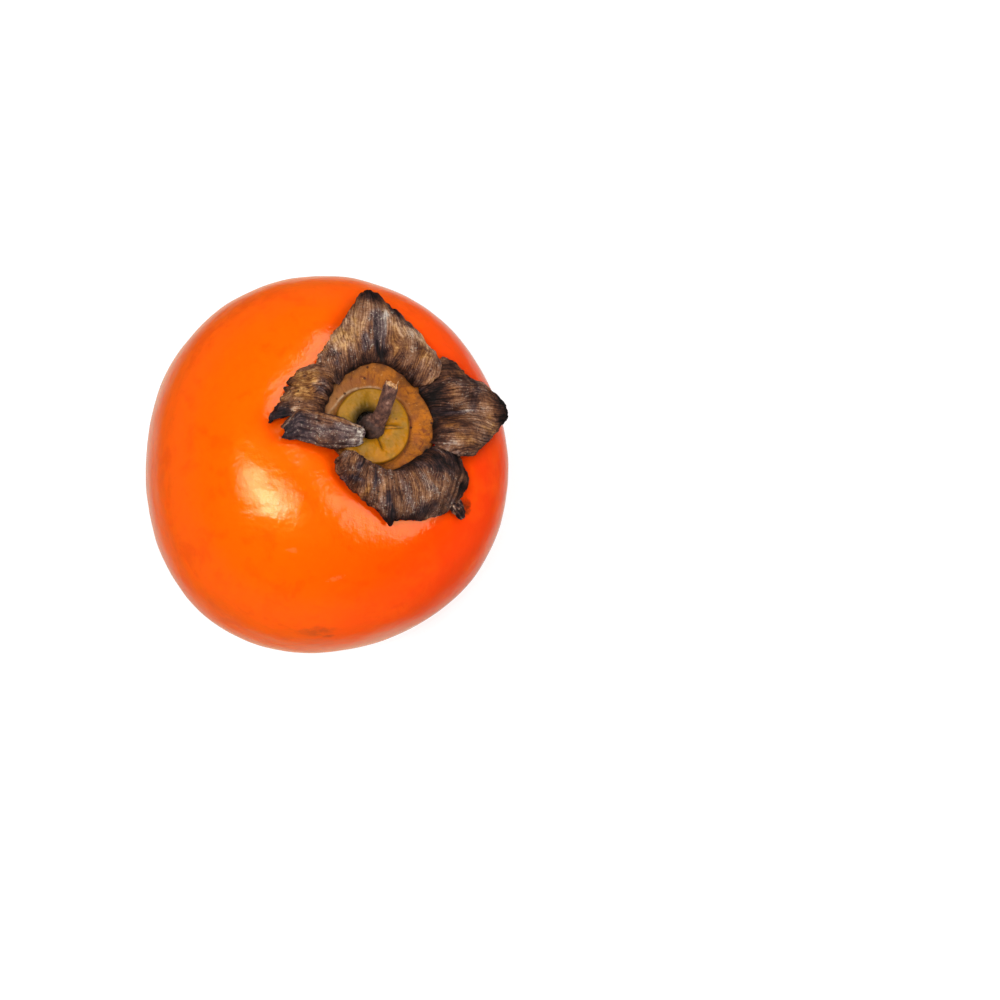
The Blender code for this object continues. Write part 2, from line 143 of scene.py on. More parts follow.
def grid_faces(columns, rows, closed=False, flip=False):
    """Quads between neighbours of a grid stored column after column. closed joins the last column to the
    first, and flip turns the quads over."""
    i, j = np.meshgrid(np.arange(columns if closed else columns - 1), np.arange(rows - 1), indexing="ij")
    here, there = i * rows + j, (i + 1) % columns * rows + j
    faces = np.stack([here, there, there + 1, here + 1], -1).reshape(-1, 4)
    return faces[:, ::-1] if flip else faces


def make_mesh(name, points, faces):
    mesh = bpy.data.meshes.new(name)
    mesh.vertices.add(len(points))
    mesh.vertices.foreach_set("co", np.ascontiguousarray(points, dtype=np.float32).ravel())
    mesh.loops.add(faces.size)
    mesh.loops.foreach_set("vertex_index", np.ascontiguousarray(faces, dtype=np.int32).ravel())
    mesh.polygons.add(len(faces))
    mesh.polygons.foreach_set("loop_start", np.arange(0, faces.size, faces.shape[1], dtype=np.int32))
    mesh.update(calc_edges=True)
    mesh.validate()
    mesh.shade_smooth()
    made = bpy.data.objects.new(name, mesh)
    bpy.context.scene.collection.objects.link(made)
    return made


def weld(obj, distance=1e-6):
    """Closes poles and seams, whose points lie in one place."""
    join = obj.modifiers.new("weld", "WELD")
    join.merge_threshold = distance


def give(obj, **layers):
    """Stores numbers for each point, layer by layer, for the material to read."""
    for name, values in layers.items():
        layer = obj.data.attributes.new(name, "FLOAT", "POINT")
        layer.data.foreach_set("value", np.ascontiguousarray(values, dtype=np.float32).ravel())


def linear(code):
    """An sRGB hex colour as the linear colour a shader takes."""
    parts = [int(code[i : i + 2], 16) / 255 for i in (1, 3, 5)]
    return tuple(p / 12.92 if p <= 0.04045 else ((p + 0.055) / 1.055) ** 2.4 for p in parts) + (1,)


def new_material(name):
    made = bpy.data.materials.new(name)
    made.use_nodes = True
    return made, made.node_tree, made.node_tree.nodes["Principled BSDF"]


def feed(made, inputs):
    """Sets a node's inputs. Each is a value, a hex colour or the output that feeds it."""
    for key, value in inputs.items():
        if isinstance(value, bpy.types.NodeSocket):
            made.id_data.links.new(value, made.inputs[key])
        else:
            made.inputs[key].default_value = linear(value) if isinstance(value, str) else value


def node(tree, kind, inputs, out=0, stops=(), **settings):
    """Adds a node with its settings, its inputs and a colour ramp's stops, and gives the output asked for."""
    made = tree.nodes.new("ShaderNode" + kind)
    for key, value in settings.items():
        setattr(made, key, value)
    while len(stops) > 2 and len(made.color_ramp.elements) < len(stops):
        made.color_ramp.elements.new(0.5)
    for number, (position, code) in enumerate(stops):
        made.color_ramp.elements[number].position = position
        made.color_ramp.elements[number].color = linear(code)
    feed(made, inputs)
    return made.outputs[out]


SMOOTH = {"interpolation_type": "SMOOTHSTEP"}


def clouds(where, size, detail=2, roughness=0.5, rise=None, twist=0.0):
    """Noise whose lumps are about this many metres across. A rise turns it into patches by a smooth step,
    from 0 where the noise has the rise's first value to 1 where it has the second."""
    lumps = node(
        where.id_data, "TexNoise",
        {"Vector": where, "Scale": 0.7 / size, "Detail": detail, "Roughness": roughness, "Distortion": twist},
    )
    if rise is None:
        return lumps
    ends = {"Value": lumps, "From Min": rise[0], "From Max": rise[1]}
    return node(where.id_data, "MapRange", ends, **SMOOTH)


def near(where, centre, reach, stretch=(1, 1, 1)):
    """1 at a place on the object, falling to 0 at its reach by a smooth step. stretch squeezes it along the
    axes."""
    tree = where.id_data
    apart = node(tree, "VectorMath", {0: where, 1: centre}, operation="SUBTRACT")
    apart = node(tree, "VectorMath", {0: apart, 1: stretch}, operation="MULTIPLY")
    far = node(tree, "VectorMath", {0: apart}, "Value", operation="LENGTH")
    ends = {"Value": far, "From Min": reach, "From Max": 0.0}
    return node(tree, "MapRange", ends, **SMOOTH)


def stain(where, centre, reach, stretch, size, detail, rise):
    """A mottled spot: nearness to a place times noise, from 0 to 1 over the rise by a smooth step."""
    factors = {0: near(where, centre, reach, stretch), 1: clouds(where, size, detail, 0.7)}
    spot = node(where.id_data, "Math", factors, operation="MULTIPLY")
    ends = {"Value": spot, "From Min": rise[0], "From Max": rise[1]}
    return node(where.id_data, "MapRange", ends, **SMOOTH)


def added(tree, start, parts):
    """start, plus each pattern times its weight."""
    for pattern, weight in parts:
        start = node(tree, "Math", {0: pattern, 1: weight, 2: start}, operation="MULTIPLY_ADD")
    return start


def washed(tree, colour, washes):
    """Lays washes over a colour. Each has the pattern that it follows, or the name of the piece's attribute
    that holds it, then its strength where that is 1, then its own colour."""
    for pattern, strength, wash in washes:
        if isinstance(pattern, str):
            pattern = node(tree, "Attribute", {}, "Fac", attribute_name=pattern)
        share = node(tree, "Math", {0: pattern, 1: strength}, operation="MULTIPLY")
        colour = node(tree, "Mix", {0: share, 6: colour, 7: wash}, 2, data_type="RGBA")
    return colour


# How far the dry calyx reaches over the skin: azimuth in degrees, then metres off the axis.
CALYX_REACH = (
    (0, 0.0262), (5, 0.0284), (12, 0.0313), (19, 0.0305), (31, 0.0265), (47, 0.0234), (50, 0.0218),
    (68, 0.0247), (79, 0.0270), (90, 0.0299), (104, 0.0239), (124, 0.0187), (140, 0.0177), (163, 0.0190),
    (182, 0.0213), (193, 0.0193), (203, 0.0131), (216, 0.0095), (226, 0.0110), (246, 0.0135), (272, 0.0169),
    (282, 0.0197), (301, 0.0214), (325, 0.0236), (336, 0.0234), (346, 0.0195), (351, 0.0225),
)

FRUIT_COLUMNS, FRUIT_ROWS = 360, 221
SHADE_WIDTH = 0.0022

polar, azimuth = round_grid(FRUIT_COLUMNS, np.linspace(0, 1, FRUIT_ROWS) * math.pi)
skin = skin_points(polar, azimuth)
off_axis = np.hypot(skin[..., 0], skin[..., 1])
skin[..., :2] *= np.clip(np.sin(polar) / 1e-3, 0, 1)[..., None]
outwards = skin / np.linalg.norm(skin, axis=-1, keepdims=True)
dents = DENT_HEIGHT * (ripple(skin, 0.017, 18, 3) + 0.2 * ripple(skin, 0.006, 18, 4))
skin = to_world(skin + outwards * dents[..., None])
low = skin[..., 2]
soft = (low + PRESS_BLEND) ** 2 / (4 * PRESS_BLEND)
skin[..., 2] = np.where(low < -PRESS_BLEND, 0, np.where(low < PRESS_BLEND, soft, low))
fruit = make_mesh("persimmon_fruit", skin.reshape(-1, 3), grid_faces(FRUIT_COLUMNS, FRUIT_ROWS, True, True))
weld(fruit, 1e-5)
# Painted shade: a band just outside the calyx's reach on the upper half, darkened in the skin's colour.
beyond = np.clip(off_axis - np.interp(np.degrees(azimuth), *np.array(CALYX_REACH).T, period=360), 0, 1)
give(fruit, shaded=np.exp(-((beyond / SHADE_WIDTH) ** 2)) * (polar < math.pi / 2))

# Persimmon skin: a thin cuticle with natural wax over soft flesh, that light enters and reddens. It is orange
# and redder on its right side, and painted shade darkens it to a deeper red close round the calyx. Fine pits
# break up its reflections. The stains are an old bruise low in front and two pale scuffs, and there is a dark
# spot by the south sepal's tip.
skin_material, tree, shader = new_material("waxy_persimmon_skin")
where = node(tree, "TexCoord", {}, "Object")
side = node(tree, "VectorMath", {0: where, 1: (0.90, -0.15, -0.10)}, "Value", operation="DOT_PRODUCT")
side = added(tree, side, ((clouds(where, 0.030), 0.030),))
side = node(tree, "MapRange", {"Value": side, "From Min": -0.010, "From Max": 0.055}, **SMOOTH)
ripe = node(
    tree, "ValToRGB", {"Fac": side},
    stops=((0.0, "#F85A00"), (0.40, "#F44A00"), (0.65, "#E63A00"), (1.0, "#DC2C00")),
)
bruise = stain(where, (-0.0042, -0.0389, 0.0487), 0.0054, (0.7, 1, 1.2), 0.0010, 3, (0.10, 0.60))
bruise_core = stain(where, (-0.0018, -0.0393, 0.0463), 0.0022, (0.8, 1, 1.5), 0.0008, 3, (0.15, 0.55))
# A dark spot on the skin beside the south sepal's tip.
soot = stain(where, (0.0267, -0.0137, 0.0552), 0.0042, (1, 1, 1), 0.0009, 3, (0.20, 0.55))
scuff = stain(where, (0.0004, -0.0303, 0.0617), 0.0046, (0.8, 1, 4), 0.0006, 2, (0.35, 0.50))
small_scuff = stain(where, (-0.0081, -0.0254, 0.0664), 0.0034, (0.8, 1, 3), 0.0006, 2, (0.35, 0.50))
colour = washed(
    tree, ripe,
    (
        (clouds(where, 0.0090, 3, 0.60, (0.45, 0.75)), 0.45, "#FA5A00"),
        (clouds(where, 0.0045, 4, 0.65, (0.50, 0.68), 0.4), 0.30, "#D83400"),
        (clouds(where, 0.0011, 2, 0.50, (0.60, 0.80)), 0.22, "#D84204"),
        (bruise, 0.55, "#A8421E"),
        (bruise_core, 0.60, "#A83A1E"),
        (soot, 0.85, "#3A1A0C"),
        (scuff, 0.10, "#FFA070"),
        (small_scuff, 0.10, "#FFA070"),
        # Painted shade round the calyx.
        ("shaded", 0.50, "#A82400"),
    ),
)
pits = node(tree, "Bump", {"Height": clouds(where, 0.0007, 3, 0.6), "Strength": 0.22, "Distance": 0.0001})
waves = node(
    tree, "Bump",
    {"Height": clouds(where, 0.0016, 3, 0.6), "Strength": 0.30, "Distance": 0.0004, "Normal": pits},
)
feed(
    shader,
    {
        "Base Color": colour, "Roughness": 0.24, "IOR": 1.45, "Normal": waves,
        "Specular Tint": (1.0, 0.80, 0.08, 1), "Specular IOR Level": 0.46,
        "Coat Weight": 0.62, "Coat IOR": 1.33, "Coat Roughness": 0.07, "Coat Normal": waves,
        "Sheen Weight": 0.22, "Sheen Roughness": 0.35, "Sheen Tint": (1.0, 0.48, 0.04, 1),
        "Subsurface Weight": 0.35, "Subsurface Radius": (1.0, 0.22, 0.04), "Subsurface Scale": 0.0018,
    },
)
fruit.data.materials.append(skin_material)
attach(fruit, "root")
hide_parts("fruit")

# ---- the calyx disc ----
# The leathery plate that the four sepals grow from, still a little fleshy: ochre, veined with reddish
# cracks and dotted, and lying in the fruit's basin. A thin torn lip stands round its middle, where the
# collar comes out of it.
GAP = 0.0003
DISC_RADIUS = 0.0120
DISC_OFFSET = 0.0024
DISC_OFFSET_AT = 50
DISC_SQUARE = 0.0005
DISC_THICKNESS = 0.0010
LIP_RADIUS = 0.0089
LIP_WIDTH = 0.00026
LIP_HEIGHT = 0.00055
GROOVE_RADIUS = 0.0087


def skin_height(radius, azimuth):
    """The skin's height over a point at this distance from the axis, on the calyx side: the superellipse
    solved for its height, after four rounds of undoing the girth's waves."""
    plain = radius
    for _ in range(4):
        plain = radius / (1 + girth(azimuth) * (plain / EQUATOR_RADIUS) ** 2)
    share = np.clip(plain / EQUATOR_RADIUS, 0, 0.999)
    return SHOULDER_HEIGHT * (1 - share**SHOULDER_POWER) ** (1 / SHOULDER_POWER) - basin(plain)


def on_skin(radius, azimuth, height):
    """The point this high over the skin, measured along the axis."""
    up = skin_height(radius, azimuth) + height
    return np.stack([radius * np.cos(azimuth), radius * np.sin(azimuth), up], -1)


def disc_radius(azimuth):
    """The disc's rim: a circle off the stem's axis, drawn out a little towards each sepal by a fourfold
    cosine."""
    off = DISC_OFFSET * np.cos(azimuth - math.radians(DISC_OFFSET_AT))
    return DISC_RADIUS + off + DISC_SQUARE * np.cos(4 * azimuth)


def bump(at, centre, half_width):
    """A bell curve: 1 at its centre, 1/e at its half width."""
    return np.exp(-(((at - centre) / half_width) ** 2))


def turned(degrees, at):
    """The angle from one azimuth to another, from -180 to 180 degrees."""
    return (degrees - at + 180) % 360 - 180


def patchy(x, y, seed):
    """Smooth noise from -1 to 1 on a plane: random heights at whole numbers, joined by smooth steps."""
    table = np.random.default_rng(seed).uniform(-1, 1, (97, 97))
    i, j = np.floor(x).astype(int), np.floor(y).astype(int)
    a, b = x - i, y - j
    a, b = a * a * (3 - 2 * a), b * b * (3 - 2 * b)
    low = table[i % 97, j % 97] * (1 - a) + table[(i + 1) % 97, j % 97] * a
    high = table[i % 97, (j + 1) % 97] * (1 - a) + table[(i + 1) % 97, (j + 1) % 97] * a
    return low * (1 - b) + high * b


def make_surface(name, grid, closed=True, flip=False):
    """A piece from one grid of points in the fruit's axis frame."""
    faces = grid_faces(*grid.shape[:2], closed, flip)
    return make_mesh(name, to_world(grid).reshape(-1, 3), faces)


def cells(where, per_metre, full, gone, patches, feature="F1"):
    """Dots, so many cells to the metre: 1 within full of a cell's middle, falling to 0 at gone, and only
    where the patches are. The feature DISTANCE_TO_EDGE gives a net of cracks instead."""
    tree = where.id_data
    far = node(tree, "TexVoronoi", {"Vector": where, "Scale": per_metre}, "Distance", feature=feature)
    ends = {"Value": far, "From Min": gone, "From Max": full}
    dots = node(tree, "MapRange", ends, **SMOOTH)
    return node(tree, "Math", {0: dots, 1: patches}, operation="MULTIPLY")


polar, azimuth = round_grid(360, np.linspace(0, 1, 141) * math.pi)
degrees = np.degrees(azimuth)
share = np.sin(polar) ** 0.8
radius = disc_radius(azimuth) * share
level = radius * 0
lip_at = LIP_RADIUS + 0.0004 * np.sin(np.radians(degrees * 2 + 40)) + 0.0003 * patchy(degrees / 17, level, 5)
lip = bump(radius, lip_at, LIP_WIDTH) * bump(turned(degrees, 112), 0, 48)
lip = lip * (0.75 + 0.5 * patchy(degrees / 4, level, 6))
groove_at = GROOVE_RADIUS + 0.0003 * patchy(degrees / 14, level + 3, 5)
groove = bump(radius, groove_at, 0.00022) * bump(turned(degrees, 12), 0, 50)
groove = groove + 0.8 * bump(radius, groove_at - 0.0008, 0.0002) * bump(turned(degrees, -14), 0, 28)
spokes = bump(patchy(degrees / 6, radius * 220, 7), 0, 0.07) * bump(radius, 0.0115, 0.0024)
spokes = spokes * np.clip(0.5 + patchy(degrees / 25, radius * 150, 10), 0, 1)
lumps = patchy(degrees / 10, radius * 420, 9)
relief = LIP_HEIGHT * lip - 0.00022 * groove - 0.00010 * spokes + 0.0005 * bump(share, 1, 0.10)
relief = relief + 0.00010 * (lumps + patchy(degrees / 4, radius * 900, 8))
relief = relief + 0.00014 * patchy(degrees / 9, radius * 500, 16)
height = GAP + DISC_THICKNESS / 2 * (1 + np.sign(np.cos(polar)) * np.abs(np.cos(polar)) ** 0.4)
height = height + np.clip(np.cos(polar) * 4, 0, 1) * relief
disc = make_surface("calyx_disc_plate", on_skin(radius, azimuth, height), flip=True)
weld(disc)
band = bump(radius, 0.0098, 0.0009) * np.clip(0.6 + 0.8 * patchy(degrees / 9, radius * 500, 20), 0, 1)
ragged = patchy(degrees / 5, radius * 900, 18) + 0.5 * patchy(degrees / 2, radius * 2000, 19)
give(
    disc,
    lip=lip,
    cracks=np.maximum(spokes, groove),
    band=band,
    gold=np.clip(bump(turned(degrees, 15), 0, 62) * (0.85 + 0.5 * lumps), 0, 1),
    # Lighter on the left: partly the disc's own pinkish tan, partly painted light.
    left=bump(turned(degrees, 165), 0, 45) * np.clip((radius - 0.0075) / 0.001, 0, 1),
    # Painted shade: darker at the rim, under the sepals' roots.
    rim=np.clip((share - 0.88 + 0.06 * ragged) / 0.12, 0, 1),
    # Painted shade: dark in the well inside the collar.
    well=np.clip((0.0050 - radius) / 0.0008, 0, 1),
)

# Half-dried calyx tissue: leathery, dull and uneven, golden where it is still fleshy on the right, brown
# elsewhere. Painted shade darkens its rim, under the sepals' roots, and the well inside the collar; its left
# side is lighter, partly its own pinkish tan and partly painted light.
disc_material, tree, shader = new_material("leathery_calyx")
where = node(tree, "TexCoord", {}, "Object")
fissured = clouds(where, 0.0030, 2, 0.5, (0.48, 0.60))
dotted = clouds(where, 0.0040, 1, 0.5, (0.42, 0.52))
colour = washed(
    tree, "#80480F",
    (
        ("gold", 1.00, "#A85E08"),
        (clouds(where, 0.0032, 3, 0.6, (0.42, 0.68)), 0.55, "#8E5010"),
        (clouds(where, 0.0016, 4, 0.7, (0.46, 0.66)), 0.60, "#5E3210"),
        (clouds(where, 0.0007, 3, 0.7, (0.52, 0.72)), 0.45, "#4A240E"),
        (cells(where, 480, 0.0, 0.07, fissured, "DISTANCE_TO_EDGE"), 0.45, "#5E2C12"),
        ("band", 0.55, "#7A4020"),
        # Partly painted light: lighter on the left.
        ("left", 0.75, "#8C6038"),
        ("cracks", 0.90, "#5A2410"),
        ("lip", 1.00, "#B09878"),
        # Painted shade: darker at the rim and in the well.
        ("rim", 0.75, "#331A0C"),
        ("well", 1.00, "#1A120A"),
        (cells(where, 520, 0.10, 0.20, dotted), 0.85, "#241008"),
        (clouds(where, 0.0005, 2, 0.6, (0.66, 0.74)), 0.35, "#C08A4C"),
    ),
)
grain = node(tree, "Bump", {"Height": clouds(where, 0.0006, 3, 0.65), "Strength": 0.75, "Distance": 0.0003})
feed(shader, {"Base Color": colour, "Roughness": 0.6, "IOR": 1.4, "Specular IOR Level": 0.2, "Normal": grain})
disc.data.materials.append(disc_material)
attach(disc, "root")
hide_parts("calyx_disc")

# ---- the collar ----
# The swollen ring round the foot of the stem: smooth, firm, olive-yellow tissue with a few radial creases.
# Painted shade darkens it where it goes down to the stem, in its creases and along its outer edge. Each
# crease has an azimuth, a half width in degrees, a depth, how many degrees it swings for each millimetre
# outwards, and how far out it goes.
COLLAR_RADIUS = 0.0058
COLLAR_WIDTH = 0.0044
COLLAR_HEIGHT = 0.0020
COLLAR_HOLE = 0.0029
COLLAR_HOLE_SHIFT = 0.0005
COLLAR_HOLE_AT = 150
COLLAR_CREASES = ((298, 4, 0.0007, -3, 0.0058), (8, 2.5, 0.0004, -2, 0.0062), (-4, 1.8, 0.0002, 2, 0.0068))

around, azimuth = round_grid(360, np.linspace(0, 2, 91) * math.pi)
degrees = np.degrees(azimuth)
towards_hole = np.cos(azimuth - math.radians(COLLAR_HOLE_AT))
outer = COLLAR_RADIUS + COLLAR_WIDTH / 2 * (1 + 0.05 * patchy(degrees / 30, azimuth * 0, 11))
inner = COLLAR_HOLE + COLLAR_HOLE_SHIFT * towards_hole
radius = (outer + inner) / 2 + (outer - inner) / 2 * np.cos(around)
up = COLLAR_HEIGHT / 2 * np.sign(np.sin(around)) * np.abs(np.sin(around)) ** 0.85
upper = np.clip(np.sin(around) * 2, 0, 1)
crease = np.zeros_like(radius)
for at, half_width, depth, swing, out_to in COLLAR_CREASES:
    away = turned(degrees, at + swing * (radius - 0.0035) / 0.001)
    line = bump(away, 0, half_width) * upper * np.clip((out_to - radius) / 0.0012, 0, 1)
    wide = bump(away, 0, half_width * 4) * upper * np.clip((out_to + 0.001 - radius) / 0.003, 0, 1)
    crease = np.maximum(crease, line)
    up = up - depth * (0.7 * line + 0.5 * wide)
lumps = 0.00022 * patchy(degrees / 16, around * 1.5, 12) + 0.00008 * patchy(degrees / 5, around * 4, 17)
up = up + lumps * np.clip(np.sin(around), 0, 1)
collar_middle = 2 * GAP + DISC_THICKNESS + COLLAR_HEIGHT / 2
collar = make_surface("calyx_collar", on_skin(radius, azimuth, collar_middle + up))
weld(collar)
give(
    collar,
    # Painted shade: darker down into the hole, on the inner slope towards it, in the creases and at the outer
    # edge.
    hole=np.clip((inner + 0.0014 + 0.0007 * towards_hole - radius) / 0.0016, 0, 1),
    shade=bump(turned(degrees, COLLAR_HOLE_AT), 0, 60) * np.clip((0.0060 - radius) / 0.0018, 0, 1),
    crease=crease,
    edge=np.clip((radius - outer + 0.0005) / 0.0004, 0, 1),
    warm=0.5 + 0.5 * np.cos(azimuth + math.radians(45)),
)

# Still-living tissue under a thin skin: smooth, satin and a little translucent, with a few brown specks.
collar_material, tree, shader = new_material("smooth_green_tissue")
where = node(tree, "TexCoord", {}, "Object")
warm = node(tree, "Attribute", {}, "Fac", attribute_name="warm")
speckled = clouds(where, 0.0030, 1, 0.5, (0.52, 0.56))
colour = washed(
    tree, node(tree, "ValToRGB", {"Fac": warm}, stops=((0.0, "#8E6212"), (0.5, "#906008"), (1.0, "#A06400"))),
    (
        (clouds(where, 0.0022, 4, 0.65, (0.42, 0.66)), 0.70, "#7A5A10"),
        (clouds(where, 0.0015, 3, 0.60, (0.56, 0.70)), 0.50, "#B0780C"),
        # Painted shade: the next four washes darken the inner slope, the hole, the creases and the outer
        # edge.
        ("shade", 0.60, "#5E4A18"),
        ("hole", 0.85, "#2A200E"),
        ("crease", 0.75, "#3E2E10"),
        ("edge", 0.75, "#54300E"),
        (cells(where, 330, 0.05, 0.10, speckled), 0.70, "#4A2A10"),
    ),
)
grain = node(tree, "Bump", {"Height": clouds(where, 0.0008, 3, 0.6), "Strength": 0.45, "Distance": 0.0002})
feed(
    shader,
    {
        "Base Color": colour, "Roughness": 0.40, "IOR": 1.42, "Specular IOR Level": 0.24, "Normal": grain,
        "Subsurface Weight": 0.10, "Subsurface Radius": (1.0, 0.6, 0.15), "Subsurface Scale": 0.001,
    },
)
collar.data.materials.append(collar_material)
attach(collar, "root")
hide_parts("collar")

# ---- the sepals ----
# Four lobes that dried on the fruit: brittle, puffed up between their veins, shrunk and curled, with dark,
# crumpled tips. Each arches from the disc's rim over a crest and down to its own margin.
SEPAL_WALL = 0.0005
SEPAL_BASE_HEIGHT = 0.0016
SEPAL_BASE_OVERLAP = 0.0007
SEPAL_WAVE = 0.0005
SEPAL_WAVE_DEGREES = 13
SEPAL_COLUMNS, SEPAL_ROWS = 280, 112
RISE_SHARE = 1 / 3
LEAF_LENGTH = 0.014
LEAF_PER_DEGREE = 0.00031
VEINS_GATHER = 0.70
VEIN_SPACING = 0.0009
BAND_SPACING = 0.0020


def catmull_rom(a, b, c, d, t):
    """The Catmull-Rom cubic, from b at t = 0 to c at t = 1."""
    return b + 0.5 * t * (c - a + t * (2 * a - 5 * b + 4 * c - d + t * (3 * (b - c) + d - a)))


def spline(stations, at):
    """A Catmull-Rom curve through the stations' rows. at counts stations from 0."""
    rows = np.array(stations)
    rows = np.concatenate([2 * rows[:1] - rows[1:2], rows, 2 * rows[-1:] - rows[-2:-1]])
    i = np.clip(np.floor(at).astype(int), 0, len(stations) - 2)
    return catmull_rom(*(rows[i + k] for k in range(4)), (at - i)[..., None])


def arch(stations, folds, nicks, swing, seed):
    """A sepal's surface. u runs round the stem through the stations and v outwards: a quarter ellipse from
    the disc's rim up to the crest, then another from the crest out and down to the margin. Folds are bell-
    shaped ridges and valleys along v, and nicks are bell-shaped bites out of the margin, which swing turns
    on by so many degrees at its last end. Gives the points, v, and each point's degrees, radius and share
    of the way out."""
    u, v = np.meshgrid(np.linspace(0, 1, SEPAL_COLUMNS), np.linspace(0, 1, SEPAL_ROWS), indexing="ij")
    row = spline(stations, u * (len(stations) - 1))
    root_degrees, degrees, crest_radius, crest_height, margin_radius, margin_height = np.moveaxis(row, -1, 0)
    margin_radius = margin_radius + 0.00018 * patchy(degrees / 3.1, v * 0, seed)
    margin_radius = margin_radius + 0.00010 * patchy(degrees / 0.9, v * 0, seed + 1)
    for at, half_width, depth in nicks:
        margin_radius = margin_radius - depth * bump(degrees, at, half_width)
    rise = np.clip(v / RISE_SHARE, 0, 1)
    fall = np.clip((v - RISE_SHARE) / (1 - RISE_SHARE), 0, 1)
    degrees = root_degrees + (degrees - root_degrees) * rise**2 * (3 - 2 * rise)
    degrees = degrees + swing * fall * np.clip(u * 5 - 4, 0, 1)
    azimuth = np.radians(degrees)
    root_radius = disc_radius(azimuth) - SEPAL_BASE_OVERLAP + 0.00022 * patchy(degrees / 6, v * 0, seed + 12)
    upwards, outwards = rise * math.pi / 2, fall * math.pi / 2
    radius = root_radius + (crest_radius - root_radius) * (1 - np.cos(upwards))
    radius = radius + (margin_radius - crest_radius) * np.sin(outwards)
    height = SEPAL_BASE_HEIGHT + (crest_height - SEPAL_BASE_HEIGHT) * np.sin(upwards)
    height = height + (margin_height - crest_height) * (1 - np.cos(outwards))
    for at, half_width, lift, along, half_length in folds:
        fold = bump(degrees, at, half_width) * bump(v, along, half_length)
        height = height + lift * fold * np.clip(8 * v, 0, 1)
    height = height + SEPAL_WAVE * (0.5 + 0.5 * np.cos(degrees / SEPAL_WAVE_DEGREES * 2 * math.pi)) * fall**2
    share_out = np.clip((radius - root_radius) / (margin_radius.max() - root_radius), 0, 1)
    return on_skin(radius, azimuth, height), v, degrees, radius, share_out


def sepal(name, tip_at, shade, greyness, stations, folds, nicks, patches, seed, swing=0.0):
    """A lobe with its relief and tones. Veins run out from the root and draw together at the tip; with bands,
    lumps and wrinkles they are noise drawn out along v. shade and greyness are the means. A patch has its
    place, in degrees and in millimetres off the axis, its half widths there, and how much lighter and greyer
    it is; some of the darker patches, by the root, are painted shade."""
    grid, v, degrees, radius, share_out = arch(stations, folds, nicks, swing, seed)
    drawn = turned(degrees, tip_at) / (1 - VEINS_GATHER * share_out**1.6)
    across = LEAF_PER_DEGREE * drawn + 0.0010 * patchy(degrees / 8, v * 2.6, seed + 2)
    across = across + 0.00025 * patchy(degrees / 3, v * 7, seed + 15)
    along = LEAF_LENGTH * v + 0.0010 * patchy(degrees / 4, v * 4, seed + 11)
    veins = (1 - np.abs(patchy(across / VEIN_SPACING, along / 0.006, seed + 3))) ** 4
    bands = patchy(across / BAND_SPACING, along / 0.005, seed + 5)
    lumps = patchy(degrees / 6, v * 5, seed + 6)
    wrinkles = patchy(degrees / 3.5 + 3 * v, v * 13, seed + 7)
    relief = 0.00014 * bands + 0.00022 * lumps + 0.00010 * wrinkles - 0.00016 * veins
    crumpled = 0.00022 * bump(v, 1, 0.13) * patchy(degrees / 1.7, v * 18, seed + 8)
    points = lifted(grid, -np.clip(v * 9, 0, 1) * relief - crumpled)

    tone = shade + 0.087 - 0.12 * veins + 0.08 * bands + 0.13 * lumps + 0.10 * wrinkles
    # Painted shade darkens the root, where the lobe rises from the disc, and painted light brightens the
    # crest; the tone also falls in a thin line along the margin.
    tone = tone - 0.46 * bump(v, 0, 0.20) - 0.18 * bump(v, 1, 0.04) + 0.08 * bump(v, 0.45, 0.20)
    grey = 0.35 * patchy(degrees / 5, v * 4, seed + 9) + 0.25 * patchy(degrees / 2.2, v * 8, seed + 13)
    grey = greyness + grey
    ragged = patchy(degrees / 2.2, v * 11, seed + 10) + 0.6 * patchy(degrees / 0.9, v * 26, seed + 14)
    for at, out, half_degrees, half_length, lighter, greyer in patches:
        spot = bump(degrees, at, half_degrees) * bump(radius * 1000, out, half_length)
        spot = np.clip(1.6 * spot - 0.25 + 0.30 * ragged * np.clip(spot * 3, 0, 1), 0, 1)
        tone = tone + lighter * spot
        grey = grey + greyer * spot
    made = make_surface(name, points, closed=False)
    finish_leaf(made, tone, grey, across, along)
    thicken(made)
    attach(made, "root")
    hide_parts(name.removeprefix("dry_"))


def thicken(made):
    """Gives a leaf its thickness, half to each side."""
    wall = made.modifiers.new("wall", "SOLIDIFY")
    wall.thickness = SEPAL_WALL
    wall.offset = 0


def finish_leaf(made, tone, grey, across, along):
    """Gives a leaf its material, and its tone, its greyness and its place between the veins for that to
    read."""
    give(made, tone=np.clip(tone, 0, 1), grey=np.clip(grey, -1, 1), across=across, along=along)
    made.data.materials.append(dry_leaf)


# Dried leaf: dead brown tissue, dull and fibrous, tan on the puffed crests and nearly black where it is
# crumpled, greyish where it has a bloom and rusty elsewhere. Each piece's tone carries painted light on its
# crests and painted shade at its root as well. Veins 0.5 mm apart run along it, with fibres between them. Its
# tone is the piece's own, with the patterns added; noise is centred on a half, so half of each weight is
# taken off.
dry_leaf, tree, shader = new_material("dried_leaf")
where = node(tree, "TexCoord", {}, "Object")
own_tone, own_grey, across, along = (
    node(tree, "Attribute", {}, "Fac", attribute_name=name) for name in ("tone", "grey", "across", "along")
)
lengthwise = node(tree, "CombineXYZ", {"X": across, "Y": added(tree, 0.0, ((along, 0.22),))})
fibres = clouds(lengthwise, 0.00035, 3, 0.65)
grain = clouds(where, 0.00045, 3, 0.7)
patches = clouds(where, 0.0022, 3, 0.65)
blotches = clouds(where, 0.0026, 4, 0.7, (0.54, 0.62))
off_vein = added(tree, -0.5, ((clouds(lengthwise, 0.0011, 2, 0.5, None, 0.3), 1.0),))
off_vein = node(tree, "Math", {0: off_vein}, operation="ABSOLUTE")
